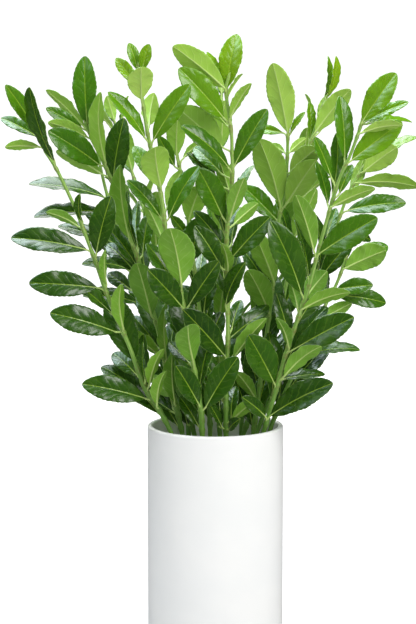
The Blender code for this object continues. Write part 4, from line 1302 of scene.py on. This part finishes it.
def veins(paint):
    """How near a point of the blade is to a side vein, 1 on it, and how the blade swells between them."""
    across = paint.calc("ABSOLUTE", paint.mark("across"))
    wobble = paint.scale(paint.noise(VEIN_WOBBLE), 0.0, 1.0, -0.5, 0.5, smooth=False)
    along = paint.calc("MULTIPLY", paint.mark("along"), VEINS)
    slanted = paint.calc("MULTIPLY_ADD", across, -VEIN_SLANT, along)
    phase = paint.calc("FRACT", paint.calc("ADD", slanted, paint.calc("ADD", wobble, paint.mark("seed"))))
    away = paint.calc("ABSOLUTE", paint.calc("SUBTRACT", phase, 0.5))
    line = paint.scale(away, 0.4, 0.5)
    fade = paint.scale(across, 0.95, 0.55)
    swell = paint.calc("COSINE", paint.calc("MULTIPLY", away, math.tau))
    return paint.calc("MULTIPLY", line, fade), swell


def midrib(paint, wide, narrow):
    """1 along the middle of the blade, in a band this many millimetres wide at its base and at its tip."""
    width = paint.scale(paint.mark("along"), 0.0, 1.0, wide, narrow, smooth=False)
    return paint.scale(paint.calc("DIVIDE", paint.mark("aside"), width), 1.0, 0.4)


def upper_material():
    """Glossy upper faces: dark with a pale midrib, lighter and yellower on new leaves."""
    paint = Paint("leaf_upper")
    age = paint.mark("age")
    seed = paint.mark("seed")
    across = paint.calc("ABSOLUTE", paint.mark("across"))
    line, swell = veins(paint)
    cloud = paint.noise(14.0, 4.0)
    new = paint.mix(seed, *NEW_GREEN)
    full = paint.mix(seed, *FULL_GREEN)
    old = paint.mix(seed, *OLD_GREEN)
    colour = paint.mix(paint.scale(age, 0.0, 0.5), new, full)
    colour = paint.mix(paint.scale(age, 0.45, 0.95), colour, old)
    colour = paint.mix(paint.scale(cloud, 0.35, 0.75, 0.0, 0.2), colour, CLOUD_GREEN)
    colour = paint.tint(colour, line, 0.2, VEIN_GREEN)
    rib = midrib(paint, 0.8, 0.25)
    colour = paint.tint(colour, rib, 0.65, RIB_GREEN)
    rim = paint.scale(across, 0.96, 0.985)
    colour = paint.tint(colour, rim, 0.4, RIM_GREEN)
    paint.set(Base_Color=colour)
    grain = paint.noise(0.6, 2.0)
    dimples = paint.noise(5.0, 2.0)
    paint.set(Roughness=paint.calc("MULTIPLY_ADD", cloud, 0.16, 0.19))
    paint.set(Specular_IOR_Level=0.48, Coat_Weight=0.2, Coat_Roughness=0.16)
    paint.set(Subsurface_Weight=0.12, Subsurface_Radius=(0.5, 1.0, 0.2), Subsurface_Scale=0.0008)
    paint.bump(paint.layers((grain, 0.05), (swell, 0.15), (line, -0.16), (dimples, 0.6), (cloud, 0.7)), 0.36)
    return paint.material


def under_material():
    """Matte undersides: light green with a pale rib and fine side veins."""
    paint = Paint("leaf_under")
    age = paint.mark("age")
    seed = paint.mark("seed")
    across = paint.calc("ABSOLUTE", paint.mark("across"))
    line, swell = veins(paint)
    new = paint.mix(seed, *UNDER_NEW)
    old = paint.mix(seed, *UNDER_OLD)
    colour = paint.mix(paint.scale(age, 0.1, 0.95), new, old)
    colour = paint.mix(paint.scale(paint.noise(11.0, 4.0), 0.35, 0.75, 0.0, 0.2), colour, UNDER_CLOUD)
    colour = paint.tint(colour, line, 0.22, UNDER_VEIN)
    rib = midrib(paint, 1.3, 0.6)
    colour = paint.tint(colour, rib, 0.5, UNDER_RIB)
    rim = paint.scale(across, 0.955, 0.985)
    colour = paint.tint(colour, rim, 0.5, UNDER_RIM)
    paint.set(Base_Color=colour)
    grain = paint.noise(0.5, 2.0)
    paint.set(Roughness=paint.scale(grain, 0.3, 0.7, 0.5, 0.62, smooth=False))
    paint.set(Specular_IOR_Level=0.25)
    paint.set(Subsurface_Weight=0.15, Subsurface_Radius=(0.6, 1.0, 0.25), Subsurface_Scale=0.0008)
    paint.bump(paint.layers((grain, 0.2), (line, 0.4), (swell, -0.12)), 0.2)
    return paint.material


def stalk_material():
    """Stems and leaf stalks: yellow-green, streaked along, browner at the nodes, with painted shade darkening
    the stems toward and inside the vase's mouth.
    """
    paint = Paint("stem_and_stalk")
    seed = paint.mark("seed")
    turn = paint.mark("across")
    near_node = paint.scale(paint.mark("along"), 4.5, 0.4)
    is_stem = paint.scale(paint.mark("along"), -0.6, -0.4)
    streak = paint.calc("SINE", paint.calc("MULTIPLY", turn, 4 * math.tau))
    streak = paint.calc("MULTIPLY_ADD", streak, 0.3, paint.noise(3.0, 4.0, stretch=(1.0, 1.0, 0.12)))
    green = paint.mix(seed, *STEM_GREEN)
    colour = paint.mix(paint.scale(streak, 0.3, 0.9), green, STREAK_GREEN)
    blotch = paint.calc("MULTIPLY", near_node, paint.scale(paint.noise(2.4, 3.0), 0.42, 0.62))
    colour = paint.tint(colour, blotch, 0.55, NODE_BROWN)
    fleck = paint.scale(paint.noise(1.3, 1.0), 0.68, 0.74)
    colour = paint.tint(colour, fleck, 0.45, FLECK_BROWN)
    # Painted shade: the stems darken from above the vase's mouth down into it, where the crowded mouth lies in
    # shade
    foot = paint.scale(paint.height(), 0.33, 0.25)
    colour = paint.tint(colour, foot, 0.65, SHADED_STEM_GREEN)
    colour = paint.mix(is_stem, STALK_GREEN, colour)
    paint.set(Base_Color=colour)
    paint.set(Roughness=paint.scale(streak, 0.2, 1.0, 0.42, 0.58, smooth=False))
    paint.set(Specular_IOR_Level=0.4)
    paint.set(Subsurface_Weight=0.1, Subsurface_Radius=(0.6, 1.0, 0.3), Subsurface_Scale=0.001)
    paint.bump(paint.calc("MULTIPLY_ADD", fleck, 0.8, streak), 0.12)
    return paint.material


def glaze_material():
    """White glaze, faintly uneven, and bare clay on the ring that the vase stands on."""
    paint = Paint("vase_glaze")
    bare = paint.scale(paint.height(), 1.6 * MM, 1.0 * MM)
    cloud = paint.noise(55.0, 3.0)
    glaze = paint.mix(paint.scale(cloud, 0.3, 0.7), *GLAZE_WHITE)
    speck = paint.scale(paint.noise(1.6, 1.0), 0.76, 0.8)
    glaze = paint.tint(glaze, speck, 0.12, SPECK_GREY)
    paint.set(Base_Color=paint.mix(bare, glaze, BARE_CLAY))
    smooth = paint.scale(cloud, 0.2, 0.8, 0.34, 0.42, smooth=False)
    paint.set(Roughness=paint.calc("MULTIPLY_ADD", bare, 0.4, smooth))
    paint.set(Specular_IOR_Level=0.45, Coat_Weight=0.1, Coat_Roughness=0.2)
    ripple = paint.calc("MULTIPLY_ADD", paint.noise(2.2, 2.0), 0.1, paint.noise(24.0, 2.0))
    paint.bump(ripple, 0.14)
    return paint.material


def water_material():
    """Clear water, its surface barely moving."""
    paint = Paint("water_clear")
    cloud = paint.noise(30.0, 2.0)
    paint.set(Base_Color=paint.mix(cloud, *WATER_TINT))
    paint.set(Roughness=0.03, IOR=1.333, Transmission_Weight=1.0)
    paint.bump(cloud, 0.2)
    return paint.material


def floor_material():
    """A pale, matte studio floor, dark in reflections, that glows for the camera: less beside the vase's foot,
    as painted shade round it.
    """
    paint = Paint("studio_floor")
    cloud = paint.noise(400.0, 3.0)
    rays = paint.tree.nodes.new("ShaderNodeLightPath")
    pale = paint.mix(cloud, *FLOOR_GREY)
    paint.set(Base_Color=paint.mix(rays.outputs["Is Glossy Ray"], pale, FLOOR_IN_GLOSS))
    paint.set(Roughness=0.9, Specular_IOR_Level=0.1)
    away = paint.tree.nodes.new("ShaderNodeVectorMath")
    away.operation = "LENGTH"
    paint.put(away.inputs[0], paint.place())
    # Painted shade: the floor glows less beside the vase's foot, so it is darker round it
    glow = paint.scale(away.outputs["Value"], VASE_RADIUS * MM, 4 * VASE_RADIUS * MM, FOOT_SHADE_GLOW, FLOOR_GLOW)
    glow = paint.calc("MULTIPLY", glow, rays.outputs["Is Camera Ray"])
    paint.set(Emission_Color=(1.0, 1.0, 1.0), Emission_Strength=glow)
    return paint.material


def add_floor():
    """A wide round floor under the vase's foot."""
    mesh = bmesh.new()
    bmesh.ops.create_circle(mesh, cap_ends=True, radius=FLOOR_RADIUS, segments=96)
    data = bpy.data.meshes.new("studio_floor")
    mesh.to_mesh(data)
    mesh.free()
    return add_object("studio_floor", data, floor_material())


def add_light(name, place, size, power, colour):
    """A square soft light at a place in metres."""
    lamp = bpy.data.lights.new(name, "AREA")
    lamp.shape = "SQUARE"
    lamp.size = size
    lamp.energy = power
    lamp.color = colour
    thing = bpy.data.objects.new(name, lamp)
    thing.location = place
    thing.rotation_euler = (LIGHT_AIM - Vector(place)).to_track_quat("-Z", "Y").to_euler()
    bpy.context.scene.collection.objects.link(thing)
    return thing


def add_studio():
    """White surroundings, soft lights on all sides and above, and one that shows only in the gloss."""
    world = bpy.data.worlds.new("studio")
    world.use_nodes = True
    tree = world.node_tree
    background = tree.nodes["Background"]
    background.inputs["Color"].default_value = (1.0, 1.0, 1.0, 1.0)
    rays = tree.nodes.new("ShaderNodeLightPath")
    strength = tree.nodes.new("ShaderNodeMapRange")
    strength.inputs["To Min"].default_value = WORLD_LIGHT
    strength.inputs["To Max"].default_value = WORLD_SHINE
    tree.links.new(rays.outputs["Is Glossy Ray"], strength.inputs["Value"])
    tree.links.new(strength.outputs["Result"], background.inputs["Strength"])
    bpy.context.scene.world = world
    add_light("key", (1.15, -1.6, 1.8), 1.4, 45.0, (1.0, 0.99, 0.97))
    add_light("top", (-0.2, 0.3, 2.2), 1.3, 42.0, (0.9, 0.96, 1.0))
    add_light("left", (-1.7, -0.7, 1.8), 1.2, 9.0, (0.88, 0.95, 1.0))
    add_light("back", (-0.6, 1.9, 1.5), 1.2, 16.0, (1.0, 1.0, 1.0))
    sheen = add_light("sheen", (-1.1, 0.2, 2.2), 1.8, 55.0, (0.7, 0.92, 1.0))
    sheen.visible_diffuse = False
    bpy.context.scene.view_settings.view_transform = "Standard"


def add_camera():
    """The eye of the front view."""
    lens = bpy.data.cameras.new("camera")
    lens.sensor_fit = "AUTO"
    lens.sensor_width = 36.0
    lens.lens = VIEW_FOCAL * lens.sensor_width / (2 * VIEW_CENTRE[1])
    lens.clip_start = 0.1
    lens.clip_end = 100.0
    camera = bpy.data.objects.new("camera", lens)
    camera.location = VIEW_EYE * MM
    camera.rotation_euler = VIEW_FORWARD.to_track_quat("-Z", "Y").to_euler()
    bpy.context.scene.collection.objects.link(camera)
    bpy.context.scene.camera = camera


def keep(piece, node):
    """A piece that stands for a node of the frame: the node is hidden and the piece joins the root body."""
    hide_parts(node)
    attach(piece, "root")


def build():
    """The vase, the water, the branches and the studio round them."""
    stems = grow_stems()
    space = Space()
    plain_vase = vase_mesh(VASE_SIDES, 2, 1, "plain_vase")
    space.add("vase", *mesh_triangles(plain_vase))
    for name, (points, _) in stems.items():
        space.add(name, *mesh_triangles(stem_mesh(points, name)))
    leaves = grow_leaves(stems, space)
    foliage = (upper_material(), under_material(), stalk_material())
    for name, (points, samples) in stems.items():
        branch = add_object(name + "_fine", branch_mesh(name, points, samples, leaves[name]), *foliage)
        keep(branch, name)
    vase = vase_mesh(FINE_SIDES, FINE_LIP_STEPS, FINE_CORNER_STEPS, "vase_fine")
    shade_round(vase)
    keep(add_object("vase_fine", vase, glaze_material()), "vase")
    water = add_object("water_fine", water_mesh(), water_material())
    cut_holes(water, [stem_hole(points[0], points[1]) for points, _ in stems.values()])
    shade_round(water.data)
    keep(water, "water")
    add_floor()
    add_studio()
    add_camera()


build()
